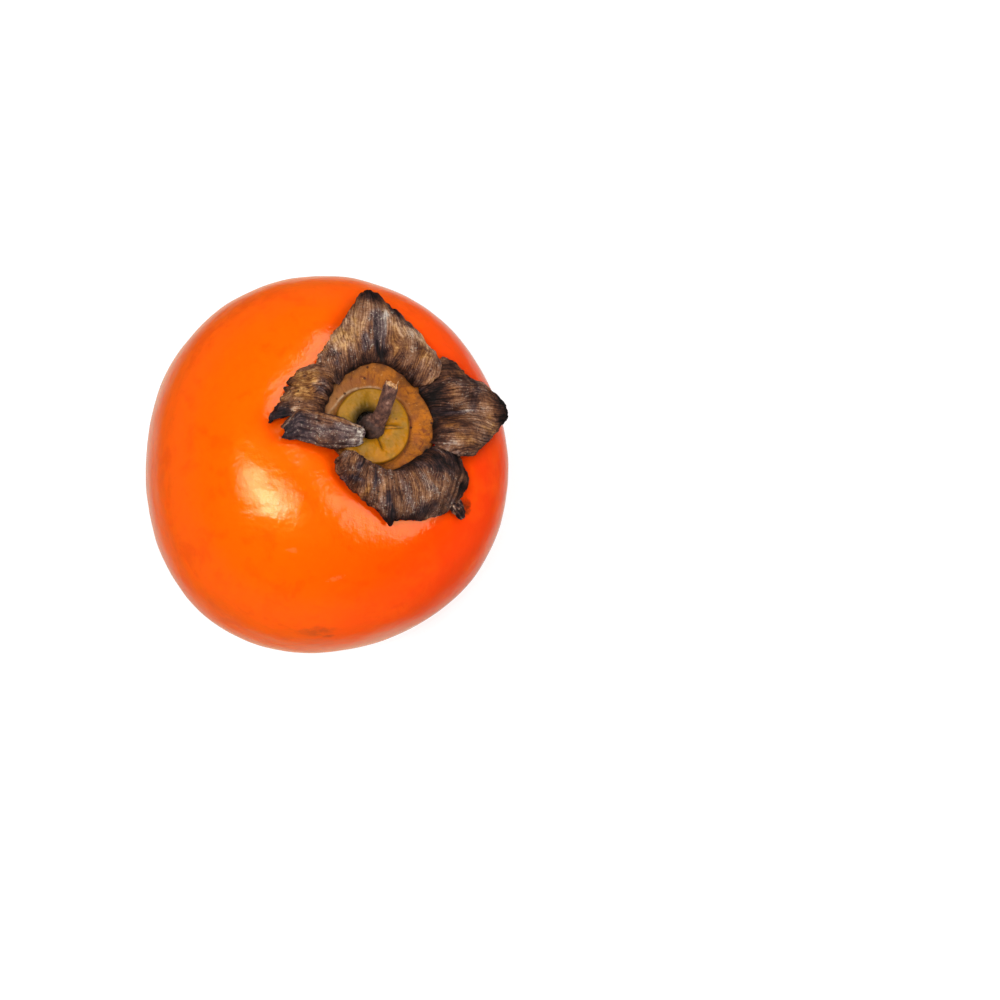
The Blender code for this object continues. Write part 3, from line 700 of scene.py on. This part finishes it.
wave = node(
    tree, "TexWave",
    {
        "Vector": lengthwise, "Scale": 0.314 / 0.00058, "Distortion": 5.0,
        "Detail": 2.0, "Detail Scale": 0.8, "Detail Roughness": 0.6,
    },
    "Fac",
)
vein, crimps = (
    node(tree, "MapRange", {"Value": value, "From Min": gone, "From Max": 0.0}, **SMOOTH)
    for value, gone in ((off_vein, 0.04), (wave, 0.45))
)
tone = added(tree, own_tone, ((1.0, -0.815), (grain, 0.72), (fibres, 0.55), (patches, 0.36)))
tone = added(tree, tone, ((vein, -0.10), (crimps, -0.15), (blotches, -0.10)))
tint = added(tree, own_grey, ((1.0, -0.6), (clouds(where, 0.0014, 3, 0.6), 1.2)))
brown = (
    (0.0, "#0E0806"), (0.22, "#28150F"), (0.45, "#482A1D"), (0.65, "#69442E"), (0.85, "#886046"),
    (1.0, "#AC8868"),
)
grey = ((0.0, "#0E0C0F"), (0.35, "#302428"), (0.65, "#5E4C4A"), (0.85, "#867A72"), (1.0, "#B4ABA0"))
rusty = ((0.0, "#100805"), (0.35, "#3E1F0E"), (0.65, "#764820"), (1.0, "#B8884C"))
brown, grey, rusty = (node(tree, "ValToRGB", {"Fac": tone}, stops=stops) for stops in (brown, grey, rusty))
greyed, rusted, bloom, raised = (
    node(tree, "MapRange", {"Value": value, "From Min": none, "From Max": full}, **SMOOTH)
    for value, none, full in ((tint, 0.0, 0.9), (tint, 0.0, -0.7), (tint, -0.3, 0.6), (tone, 0.3, 0.6))
)
scurf = clouds(where, 0.00030, 2, 0.6, (0.58, 0.68))
for limit in (raised, bloom):
    scurf = node(tree, "Math", {0: scurf, 1: limit}, operation="MULTIPLY")
dots = cells(where, 750, 0.10, 0.20, clouds(where, 0.0040, 1, 0.5, (0.48, 0.54)))
colour = washed(
    tree, brown,
    ((greyed, 0.9, grey), (rusted, 0.9, rusty), (dots, 0.8, "#120A0A"), (scurf, 0.8, "#A89A88")),
)
height = added(tree, 0.0, ((fibres, 0.6), (grain, 0.4), (vein, -0.4), (crimps, -0.5)))
rough = node(tree, "Bump", {"Height": height, "Strength": 0.8, "Distance": 0.00028})
feed(
    shader,
    {"Base Color": colour, "Roughness": 0.7, "IOR": 1.45, "Specular IOR Level": 0.18, "Normal": rough},
)

sepal(
    "dry_sepal_north", 89, 0.62, -0.02,
    (
        (46, 40.5, 0.015, 0.0039, 0.0176, 0.0033), (50, 44.5, 0.0158, 0.0044, 0.0202, 0.003),
        (53, 49, 0.0163, 0.0045, 0.0216, 0.0022), (60, 57.5, 0.0168, 0.0044, 0.0227, 0.0012),
        (69, 68, 0.0172, 0.0043, 0.0247, 0.0012), (78, 79, 0.0176, 0.004, 0.027, 0.0018),
        (83, 86, 0.018, 0.0042, 0.0294, 0.0034), (87, 92, 0.018, 0.0043, 0.0298, 0.0044),
        (92, 97, 0.0179, 0.0041, 0.0277, 0.0034), (99, 104, 0.0172, 0.0037, 0.0239, 0.0021),
        (108, 114, 0.0163, 0.0035, 0.0204, 0.0015), (118, 124, 0.0151, 0.0032, 0.0187, 0.0012),
        (127, 132, 0.014, 0.0026, 0.0176, 0.0011), (132, 137, 0.0134, 0.0021, 0.0162, 0.001),
    ),
    (
        (85, 5, -0.0019, 0.32, 0.24), (90, 6, 0.0006, 0.72, 0.25), (60, 9, 0.0008, 0.45, 0.3),
        (111, 8, 0.0008, 0.5, 0.3), (74, 3, -0.0005, 0.55, 0.3), (101, 3, -0.0005, 0.55, 0.3),
        (66, 2.2, -0.0005, 0.42, 0.2), (57, 2, -0.0004, 0.42, 0.2), (95, 2, -0.0004, 0.6, 0.2),
    ),
    ((97.5, 1, 0.0005), (72, 1.2, 0.0003), (121, 1, 0.0004)),
    (
        (88, 29.9, 12, 2.4, -0.44, 0.05), (78, 26.5, 4, 1.8, -0.36, 0.25), (84, 24.5, 2, 1.6, 0.22, 0.9),
        (71, 24, 3, 1, -0.2, 0.2), (96, 25.8, 5, 2.6, -0.04, -0.1), (84, 16.3, 6, 1.8, -0.28, 0.05),
        (88, 20.5, 6, 4.8, -0.1, 1.2), (64, 22.3, 14, 1.8, 0.44, 0), (74, 19.4, 7, 3, 0.16, -0.3),
        (107, 20, 8, 3.6, 0.26, -0.3), (116, 18, 5, 2.4, 0.34, -0.1), (98, 17.6, 4, 2.2, -0.08, 0.9),
        (47, 16.6, 4, 2.5, -0.14, 0), (57, 18.5, 7, 3, 0.02, -0.3), (124, 16, 8, 2, -0.06, 0.35),
    ),
    20,
)
sepal(
    "dry_sepal_east", 13, 0.56, 0.06,
    (
        (-10, -15, 0.0152, 0.0039, 0.0188, 0.0032), (-6, -10.5, 0.0162, 0.0046, 0.022, 0.0024),
        (0, -2, 0.0172, 0.0048, 0.0252, 0.0013), (5, 5, 0.018, 0.0043, 0.0284, 0.0017),
        (10, 10.5, 0.0186, 0.0036, 0.031, 0.004), (13, 14, 0.019, 0.0032, 0.0315, 0.0062),
        (17, 19, 0.0188, 0.0034, 0.0305, 0.0052), (22, 25, 0.0186, 0.004, 0.0292, 0.003),
        (28, 31, 0.0178, 0.0039, 0.0265, 0.0016), (33, 36.5, 0.0168, 0.0034, 0.0256, 0.0012),
        (37, 41.5, 0.0158, 0.0027, 0.0249, 0.0011), (40, 47.5, 0.0149, 0.0021, 0.0234, 0.001),
    ),
    (
        (15, 5, -0.0022, 0.36, 0.26), (28, 4, 0.0006, 0.5, 0.3), (36, 2.5, -0.0006, 0.55, 0.3),
        (21, 2, 0.0004, 0.6, 0.25), (1, 6, 0.0009, 0.52, 0.28), (8, 2.5, -0.0004, 0.7, 0.25),
        (22, 2.5, -0.0004, 0.7, 0.25),
    ),
    ((24, 1, 0.0004), (34, 1, 0.0003)),
    (
        (12, 31.6, 11, 2.9, -0.42, 0.1), (-4, 25.6, 8, 0.9, -0.35, 0.1), (15, 17.5, 5, 4, -0.3, 0),
        (16, 20, 1.2, 3, 0.12, 0.8), (38, 18.5, 12, 6, -0.28, -0.2), (27, 15.5, 12, 3, -0.2, 0.15),
        (30, 25.5, 7, 1, -0.22, 0.15), (14, 26.4, 9, 1.7, 0.18, -0.15), (20, 23.4, 5, 1.2, -0.18, 0.2),
        (24, 22, 4, 3, -0.12, 0.1), (6, 18.5, 3, 3, -0.22, 0.1), (-4, 20.5, 9, 3.8, -0.09, -0.2),
        (4, 16.6, 4, 2, 0.2, -0.15), (-12, 17, 6, 2.5, 0.05, 0.3),
    ),
    40,
)
sepal(
    "dry_sepal_south", 283, 0.5, 0.12,
    (
        (230, 225.5, 0.0093, 0.005, 0.011, 0.002), (236, 233, 0.0087, 0.0063, 0.0121, 0.0013),
        (247, 246, 0.0087, 0.0067, 0.0135, 0.0011), (261, 261, 0.0091, 0.0064, 0.015, 0.0011),
        (272, 272, 0.0094, 0.0058, 0.0169, 0.0011), (279, 279, 0.0099, 0.0054, 0.0191, 0.001),
        (282, 282, 0.0101, 0.0053, 0.0197, 0.0009), (286, 286, 0.0104, 0.0052, 0.0196, 0.001),
        (300, 301, 0.0114, 0.0048, 0.0214, 0.001), (310, 311, 0.0124, 0.0046, 0.0224, 0.001),
        (320, 321, 0.0136, 0.0046, 0.0236, 0.0012), (328, 329, 0.0146, 0.0047, 0.0234, 0.0014),
        (334, 336, 0.0152, 0.0042, 0.0234, 0.0013), (338, 342, 0.0152, 0.0031, 0.0216, 0.0011),
        (343, 349, 0.0148, 0.0021, 0.019, 0.001),
    ),
    (
        (262, 6, -0.0006, 0.5, 0.25), (283, 4, 0.0005, 0.75, 0.3), (292, 5, -0.0006, 0.45, 0.25),
        (308, 6, 0.0003, 0.5, 0.3), (317, 3, -0.0004, 0.5, 0.3), (240, 4, 0.0003, 0.5, 0.3),
    ),
    ((282.2, 1, -0.0009), (296, 1.5, 0.0003), (252, 1.5, 0.0003)),
    (
        (298, 20.3, 20, 1.3, -0.28, 0.05), (238, 10.5, 12, 3, 0.04, -0.05),
        (306, 16.5, 16, 3.2, 0.08, 0.05), (331, 15, 9, 1.6, -0.22, 0.15), (340, 18, 9, 4, -0.36, 0.15),
        (331, 23, 6, 1.5, -0.26, 0), (280, 15.5, 2.5, 2, -0.24, 0.4), (275, 14.6, 2.5, 1.6, 0.16, -0.3),
        (283, 19.3, 3, 2, -0.34, 0.4), (289, 15, 2, 2, -0.2, 0.1), (268, 12.5, 3, 2, -0.12, 0.6),
        (262, 14.5, 4, 1.5, 0.1, -0.5), (248, 9.4, 5, 1.6, -0.38, 0.15), (280, 13.5, 4, 2, 0.06, -0.45),
        (250, 12.8, 10, 0.5, -0.05, 0.9),
    ),
    60,
)
sepal(
    "dry_sepal_west", 181, 0.58, -0.1,
    (
        (143, 133.5, 0.0136, 0.0037, 0.0164, 0.0027), (146, 139, 0.014, 0.004, 0.0176, 0.0018),
        (150, 146, 0.0142, 0.0039, 0.0184, 0.0013), (155, 154, 0.0143, 0.0039, 0.019, 0.0013),
        (160, 160.5, 0.0143, 0.0039, 0.0196, 0.0014), (162, 163, 0.0143, 0.0039, 0.019, 0.0014),
        (167, 168, 0.0143, 0.004, 0.0193, 0.0012), (171, 173, 0.0145, 0.0041, 0.02, 0.0009),
        (174, 176.5, 0.0145, 0.0041, 0.0207, 0.0008), (176.5, 179, 0.0144, 0.0038, 0.0213, 0.0007),
    ),
    (
        (147, 3.5, 0.0004, 0.45, 0.3), (153, 3, -0.0006, 0.5, 0.3), (162, 3, -0.0005, 0.75, 0.3),
        (170, 5, 0.0004, 0.6, 0.3),
    ),
    ((159.3, 0.9, 0.0016), (166, 1, 0.0005), (170.5, 0.8, 0.0004), (181, 0.7, 0.0009)),
    (
        (155, 16, 14, 2.5, 0.06, -0.35), (180, 20, 9, 2.8, -0.37, 0.85), (176, 16.9, 2, 0.8, 0.5, 0.1),
        (178.5, 16.6, 0.9, 0.5, -0.8, 0), (158, 19, 6, 0.8, -0.2, 0.1), (150, 13.6, 8, 1.2, -0.15, 0.5),
    ),
    80,
    swing=4,
)

# The west sepal's torn side has folded over the disc: from a ridge its darker underside slopes down to the
# south and curls in below. Each station has x, then y and height of the north foot, the ridge, the face and
# the south edge.
FLAP = (
    (-0.0188, -0.0024, 0.0022, -0.0027, 0.0030, -0.0034, 0.0028, -0.0042, 0.0019),
    (-0.0176, -0.0004, 0.0024, -0.0009, 0.0038, -0.0024, 0.0036, -0.0043, 0.0019),
    (-0.0161, 0.0015, 0.0026, 0.0009, 0.0043, -0.0016, 0.0042, -0.0044, 0.0020),
    (-0.0141, 0.0014, 0.0027, 0.0005, 0.0049, -0.0021, 0.0047, -0.0048, 0.0023),
    (-0.0121, 0.0012, 0.0030, 0.0002, 0.0053, -0.0024, 0.0050, -0.0051, 0.0027),
    (-0.0098, 0.0009, 0.0034, -0.0002, 0.0057, -0.0028, 0.0053, -0.0054, 0.0030),
    (-0.0075, 0.0005, 0.0038, -0.0006, 0.0061, -0.0031, 0.0057, -0.0054, 0.0034),
    (-0.0052, -0.0004, 0.0044, -0.0013, 0.0064, -0.0031, 0.0061, -0.0050, 0.0040),
    (-0.0038, -0.0009, 0.0049, -0.0016, 0.0064, -0.0030, 0.0062, -0.0047, 0.0046),
    (-0.0029, -0.0013, 0.0053, -0.0018, 0.0061, -0.0028, 0.0060, -0.0040, 0.0050),
)
FLAP_COLUMNS, FLAP_ROWS = 190, 104

u, v = np.meshgrid(np.linspace(0, 1, FLAP_COLUMNS), np.linspace(0, 1, FLAP_ROWS), indexing="ij")
row = spline(FLAP, u * (len(FLAP) - 1))
foot, ridge, face, edge = (row[..., k : k + 2] for k in (1, 3, 5, 7))
knots = np.stack(
    [
        foot,
        ridge + (0.0003, -0.0004),
        ridge,
        0.75 * ridge + 0.25 * face + (0, 0.0001),
        face,
        edge,
        edge * (0.7, 1) + face * (0.3, 0) - (0, 0.0006),
    ]
)
at = v * (len(knots) - 1)
low = np.clip(np.floor(at).astype(int), 0, len(knots) - 2)
columns, rows = np.indices(u.shape)
beside = (knots[np.clip(low + k, 0, len(knots) - 1), columns, rows] for k in (-1, 0, 1, 2))
section = catmull_rom(*beside, (at - low)[..., None])
x = row[..., 0] + 0.0004 * patchy(v * 13, u * 0, 101) * (bump(u, 0, 0.10) + bump(u, 1, 0.10))
y = section[..., 0] + 0.00020 * patchy(u * 13, v * 0, 108) * bump(v, 0.85, 0.12)
grid = on_skin(np.hypot(x, y), np.arctan2(y, x), section[..., 1])
fibres = (1 - np.abs(patchy(u * 5 + 0.5 * patchy(u * 9, v * 5, 103), v * 22, 104))) ** 3
lumps = patchy(u * 13, v * 9, 105)
creases = patchy(u * 26 + 2 * v, v * 5, 109)
relief = 0.00014 * lumps + 0.00010 * creases - 0.00010 * fibres
flap = make_surface("dry_sepal_west_flap", lifted(grid, relief), closed=False)
ridge, end, outer_face = bump(v, 0.36, 0.10), bump(u, 0.90, 0.22), bump(u, 0.10, 0.20) * bump(v, 0.65, 0.25)
tone = 0.66 - 0.12 * fibres + 0.12 * lumps + 0.08 * creases
# Painted light: lighter along the ridge. Painted shade: darker at the north foot and along the south edge
# where it curls in below.
tone = tone + 0.22 * ridge * np.clip(u * 4, 0.2, 1)
tone = tone + 0.30 * end * np.clip(0.7 + 1.2 * patchy(u * 26, v * 15, 106), 0, 1)
tone = tone - 0.34 * outer_face - 0.15 * bump(v, 0.1, 0.14) - 0.15 * bump(v, 0.95, 0.12)
grey = 0.35 + 0.4 * lumps - 0.6 * ridge + 0.90 * bump(u, 0.10, 0.24) * bump(v, 0.65, 0.32) + 0.60 * end
finish_leaf(flap, tone, grey, 0.008 * v + 0.0002 * patchy(u * 8, v * 4, 107), 0.018 * u)
thicken(flap)
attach(flap, "root")

# The south sepal's shrivelled tip, black and greenish, stuck to the skin past the margin: a crumpled ball,
# drawn out along the radius and tapering outwards.
TIP_AT = math.radians(322.5)
TIP_RADII = (0.0220, 0.0270)
TIP_HALF_WIDTH = 0.0014
TIP_HEIGHT = 0.0015
TIP_THICKNESS = 0.0010

polar, azimuth = round_grid(120, np.linspace(0, 1, 71) * math.pi)
ball = np.stack([np.cos(polar), np.sin(polar) * np.cos(azimuth), np.sin(polar) * np.sin(azimuth)], -1)
ball = ball * (1 + 0.16 * ripple(ball, 1.1, 12, 110) + 0.10 * ripple(ball, 0.4, 16, 111))[..., None]
middle, half = sum(TIP_RADII) / 2, (TIP_RADII[1] - TIP_RADII[0]) / 2
tip_points = on_skin(
    middle + half * ball[..., 0] * 0.95,
    TIP_AT + TIP_HALF_WIDTH / middle * ball[..., 1] * (1 - 0.30 * ball[..., 0]),
    np.maximum(TIP_HEIGHT + TIP_THICKNESS * ball[..., 2], 0.0002),
)
tip = make_surface("dry_sepal_south_tip", tip_points, flip=True)
weld(tip)
tone = 0.30 + 0.25 * ripple(ball, 0.7, 12, 112) + 0.35 * bump(ball[..., 0], -0.5, 0.3)
grey = np.clip(0.4 + 0.2 * ripple(ball, 0.9, 12, 113), 0, 1)
finish_leaf(tip, tone, grey, 0.0015 * ball[..., 1], 0.0025 * ball[..., 0])
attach(tip, "root")

# ---- the stem ----
# A stub of woody twig, broken off when the fruit was picked: purplish bark with lengthwise wrinkles, a dark
# spreading foot inside the collar, and pale splinters at the break.
STEM = (
    (0.0004, 0.0003, 0.0016, 0.0027),
    (0.0004, 0.0004, 0.0030, 0.0025),
    (0.0008, 0.0010, 0.0040, 0.0018),
    (0.0010, 0.0017, 0.0056, 0.0016),
    (0.0011, 0.0035, 0.0085, 0.0015),
    (0.0011, 0.0057, 0.0112, 0.00145),
    (0.0011, 0.0064, 0.0121, 0.0013),
)
STEM_COLUMNS, STEM_ROWS = 120, 150

base = float(skin_height(np.array(0.0), np.array(0.0)))
along, azimuth = round_grid(STEM_COLUMNS, np.linspace(0, 1, STEM_ROWS))
row = spline(STEM, along * (len(STEM) - 1))
degrees = np.degrees(azimuth)
centre = row[..., :3] + (0, 0, base)
direction = np.gradient(centre, axis=1)
direction /= np.linalg.norm(direction, axis=-1, keepdims=True)
sideways = np.cross(direction, (0.0, 1.0, 0.35))
sideways /= np.linalg.norm(sideways, axis=-1, keepdims=True)
upwards = np.cross(sideways, direction)
bark = 1 + 0.07 * patchy(degrees / 24, along * 5, 120) + 0.045 * patchy(degrees / 9, along * 14, 121)
bark = bark + 0.05 * patchy(degrees / 40, along * 9, 122)
bark = bark + 0.10 * bump(along, 0.10, 0.12) * patchy(degrees / 30, along * 2, 123)
radius = row[..., 3] * bark
# The break is jagged, slants, and has one splinter standing up; inside it the wood dips to the pith.
jag = 0.00018 * patchy(degrees / 16, along * 0, 124) + 0.00012 * patchy(degrees / 7, along * 0, 125)
jag = jag + 0.0016 * bump(turned(degrees, 175), 0, 11) - 0.0005 * np.cos(np.radians(degrees - 160))
outer = centre + direction * (jag * np.clip((along - 0.9) / 0.1, 0, 1))[..., None]
outer = outer + sideways * (radius * np.cos(azimuth))[..., None]
outer = outer + upwards * (radius * np.sin(azimuth))[..., None]
inward = np.linspace(0, 1, 26)[None, 1:]
inner = outer[:, -1:] + (centre[:, -1:] - outer[:, -1:]) * inward[..., None]
dip = 0.00012 * patchy(degrees[:, :1] / 12, inward * 6, 126) * (1 - inward)
dip = dip - 0.0003 * np.sin(inward * math.pi) - jag[:, -1:] * np.clip(inward * 3, 0, 1)
inner = inner + direction[:, -1:] * dip[..., None]
bottom = outer[:, :1] + (centre[:, :1] - outer[:, :1]) * np.linspace(1, 0, 8)[None, :-1, None]
stem = make_surface("stem_stub", np.concatenate([bottom, outer, inner], 1))
weld(stem, 1e-5)
peeled = np.clip((along - 0.985) / 0.03 + 0.4 * patchy(degrees / 15, along * 20, 127), 0, 1)
below, within = np.ones(bottom.shape[:2]), np.ones(inner.shape[:2])
foot = np.clip((0.42 - along) / 0.2, 0, 1)
give(
    stem,
    wood=np.concatenate([0 * below, peeled, within], 1),
    foot=np.concatenate([below, foot, 0 * within], 1),
)

# Twig bark, thin and dry, plum-brown with pale flecks; under it the broken wood is straw-coloured and
# fibrous.
bark_material, tree, shader = new_material("twig_bark")
where = node(tree, "TexCoord", {}, "Object")
colour = node(
    tree, "ValToRGB", {"Fac": clouds(where, 0.0008, 4, 0.7)},
    stops=((0.28, "#1E0E0C"), (0.44, "#46281F"), (0.58, "#6E4636"), (0.74, "#A07A66")),
)
fresh = node(
    tree, "ValToRGB", {"Fac": clouds(where, 0.0004, 3, 0.7)},
    stops=((0.30, "#7A4A24"), (0.50, "#B88450"), (0.70, "#E4C498")),
)
colour = washed(tree, colour, (("foot", 0.7, "#2A1810"), ("wood", 1.0, fresh)))
rough = node(tree, "Bump", {"Height": clouds(where, 0.0006, 4, 0.7), "Strength": 0.9, "Distance": 0.0003})
feed(shader, {"Base Color": colour, "Roughness": 0.75, "IOR": 1.5, "Normal": rough})
stem.data.materials.append(bark_material)
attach(stem, "root")
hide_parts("stem")

# ---- the style tip ----
# The dried stub of the flower's style, a black-brown point in the dimple at the blossom end.
STYLE_RADIUS = 0.0011
STYLE_LENGTH = 0.0012
STYLE_STATIONS = (0, 0.2, 0.35, 0.8, 1)

along, azimuth = round_grid(48, np.linspace(0, 1, 40))
radius = STYLE_RADIUS * np.interp(along, STYLE_STATIONS, (0, 1, 0.95, 0.4, 0))
radius = radius * (1 + 0.14 * patchy(np.degrees(azimuth) / 24, along * 4, 130))
fall = np.interp(along, STYLE_STATIONS, (0, 0, 0.25, 0.95, 1))
height = -BLOSSOM_DEPTH + DIMPLE_DEPTH - GAP - STYLE_LENGTH * fall
style_points = np.stack([radius * np.cos(azimuth), radius * np.sin(azimuth), height], -1)
style = make_surface("style_remnant", style_points, flip=True)
weld(style)

# Withered tissue, hard, dull and nearly black.
style_material, tree, shader = new_material("dry_style")
where = node(tree, "TexCoord", {}, "Object")
mottled = clouds(where, 0.0004, 3, 0.7)
feed(
    shader,
    {
        "Base Color": node(tree, "ValToRGB", {"Fac": mottled}, stops=((0.3, "#140D0A"), (0.7, "#4A3324"))),
        "Roughness": 0.8,
    },
)
style.data.materials.append(style_material)
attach(style, "root")
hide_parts("style_tip")

# ---- floor, lights and world ----
# A light table, glowing white, under a big softbox above, a smaller one on the right and a third behind.
TABLE_HALF = 3.0
SOFTBOX_HEIGHT = 0.94

corners = np.array(((-1, -1, 0), (1, -1, 0), (1, 1, 0), (-1, 1, 0))) * TABLE_HALF
floor = make_mesh("floor", corners, np.arange(4)[None])
floor_material, tree, shader = new_material("glowing_white_acrylic")
feed(
    shader,
    {
        "Base Color": (0.40, 0.40, 0.40, 1), "Roughness": 1.0, "Specular IOR Level": 0.0,
        "Emission Color": "#FFFFFF", "Emission Strength": 0.64,
    },
)
floor.data.materials.append(floor_material)
floor.visible_glossy = False

# A glowing card, unseen itself, is what the skin's gloss picks up of the table close to the fruit. It is a
# ring with a tiny hole, and fades outwards.
CARD_CENTRE = (-0.008, 0.021)
CARD_RADIUS = 0.110
CARD_HEIGHT = 0.00005
CARD_HOLE = 0.01

turn = np.linspace(0, 2, 65)[:-1] * math.pi
reach = CARD_RADIUS * np.stack([np.cos(turn), np.sin(turn)], -1) + CARD_CENTRE
rings = np.concatenate([reach * CARD_HOLE, reach])
number = np.arange(64)
beside = np.roll(number, -1)
card = make_mesh(
    "reflected_card",
    np.concatenate([rings, np.full((128, 1), CARD_HEIGHT)], 1),
    np.stack([number, number + 64, beside + 64, beside], -1),
)
card_material, tree, shader = new_material("glowing_card")
where = node(tree, "TexCoord", {}, "Object")
glow = node(
    tree, "ValToRGB", {"Fac": near(where, (*CARD_CENTRE, 0), CARD_RADIUS)},
    stops=(
        (0.0, "#000000"), (0.10, "#101010"), (0.16, "#505050"), (0.27, "#909090"), (0.40, "#A8A8A8"),
        (0.55, "#C4C4C4"),
    ),
)
feed(
    shader,
    {
        "Base Color": "#000000", "Roughness": 1.0, "Specular IOR Level": 0.0,
        "Emission Color": glow, "Emission Strength": 1.0,
    },
)
card.data.materials.append(card_material)
card.visible_camera = False
card.visible_diffuse = False
card.visible_shadow = False


def softbox(name, centre, size, radiance):
    """An oval light that shines straight down. Its power is pi times radiance times area."""
    light = bpy.data.lights.new(name, "AREA")
    light.shape = "ELLIPSE"
    light.size, light.size_y = size
    light.energy = math.pi * radiance * size[0] * size[1] * math.pi / 4
    made = bpy.data.objects.new(name, light)
    made.location = centre
    bpy.context.scene.collection.objects.link(made)


def glowing_panel(name, corners, radiance):
    """A flat, level light of any outline at the softboxes' height, seen by light but not by the camera."""
    points = np.array([(x, y, SOFTBOX_HEIGHT) for x, y in corners])
    panel = make_mesh(name, points, np.arange(len(points))[None])
    glow, _, shader = new_material(name)
    feed(shader, {"Base Color": "#000000", "Emission Color": "#FFFFFF", "Emission Strength": radiance})
    panel.data.materials.append(glow)
    panel.visible_camera = False
    panel.visible_shadow = False


glowing_panel(
    "softbox_above",
    (
        (-0.66, -0.06), (-0.75, -0.18), (-0.78, -0.30), (-0.74, -0.40), (-0.63, -0.47), (-0.46, -0.51),
        (-0.30, -0.50), (-0.16, -0.45), (-0.02, -0.36), (0.10, -0.26), (0.16, -0.19), (0.16, -0.13),
        (0.10, -0.09), (-0.19, -0.06), (-0.48, -0.03),
    ),
    4.4,
)
softbox("softbox_above_core", (-0.23, -0.27, 0.93), (0.62, 0.36), 6.4)
softbox("softbox_above_middle", (-0.18, -0.28, 0.92), (0.28, 0.20), 11.0)
glowing_panel(
    "softbox_right",
    (
        (0.58, 0.17), (0.51, 0.02), (0.49, -0.11), (0.53, -0.22), (0.61, -0.31), (0.73, -0.41),
        (0.90, -0.56), (1.14, -0.72), (1.51, -0.88), (1.85, -0.86), (2.00, -0.30), (1.60, 0.08),
        (1.00, 0.20), (0.72, 0.23),
    ),
    4.6,
)
glowing_panel(
    "softbox_back_right",
    (
        (-0.09, 0.34), (0.22, 0.59), (0.23, 0.76), (0.27, 1.00), (0.36, 1.28), (0.55, 1.22), (0.80, 0.90),
        (0.55, 0.45), (0.29, 0.15),
    ),
    5.2,
)
world = bpy.data.worlds.new("studio")
bpy.context.scene.world = world
world.use_nodes = True
world.cycles_visibility.glossy = False
tree = world.node_tree
seen = node(tree, "LightPath", {}, "Is Camera Ray")
backdrop = washed(tree, (0.30, 0.30, 0.30, 1), ((seen, 1.0, "#FFFFFF"),))
feed(tree.nodes["Background"], {"Color": backdrop})
bpy.context.scene.view_settings.view_transform = "Standard"
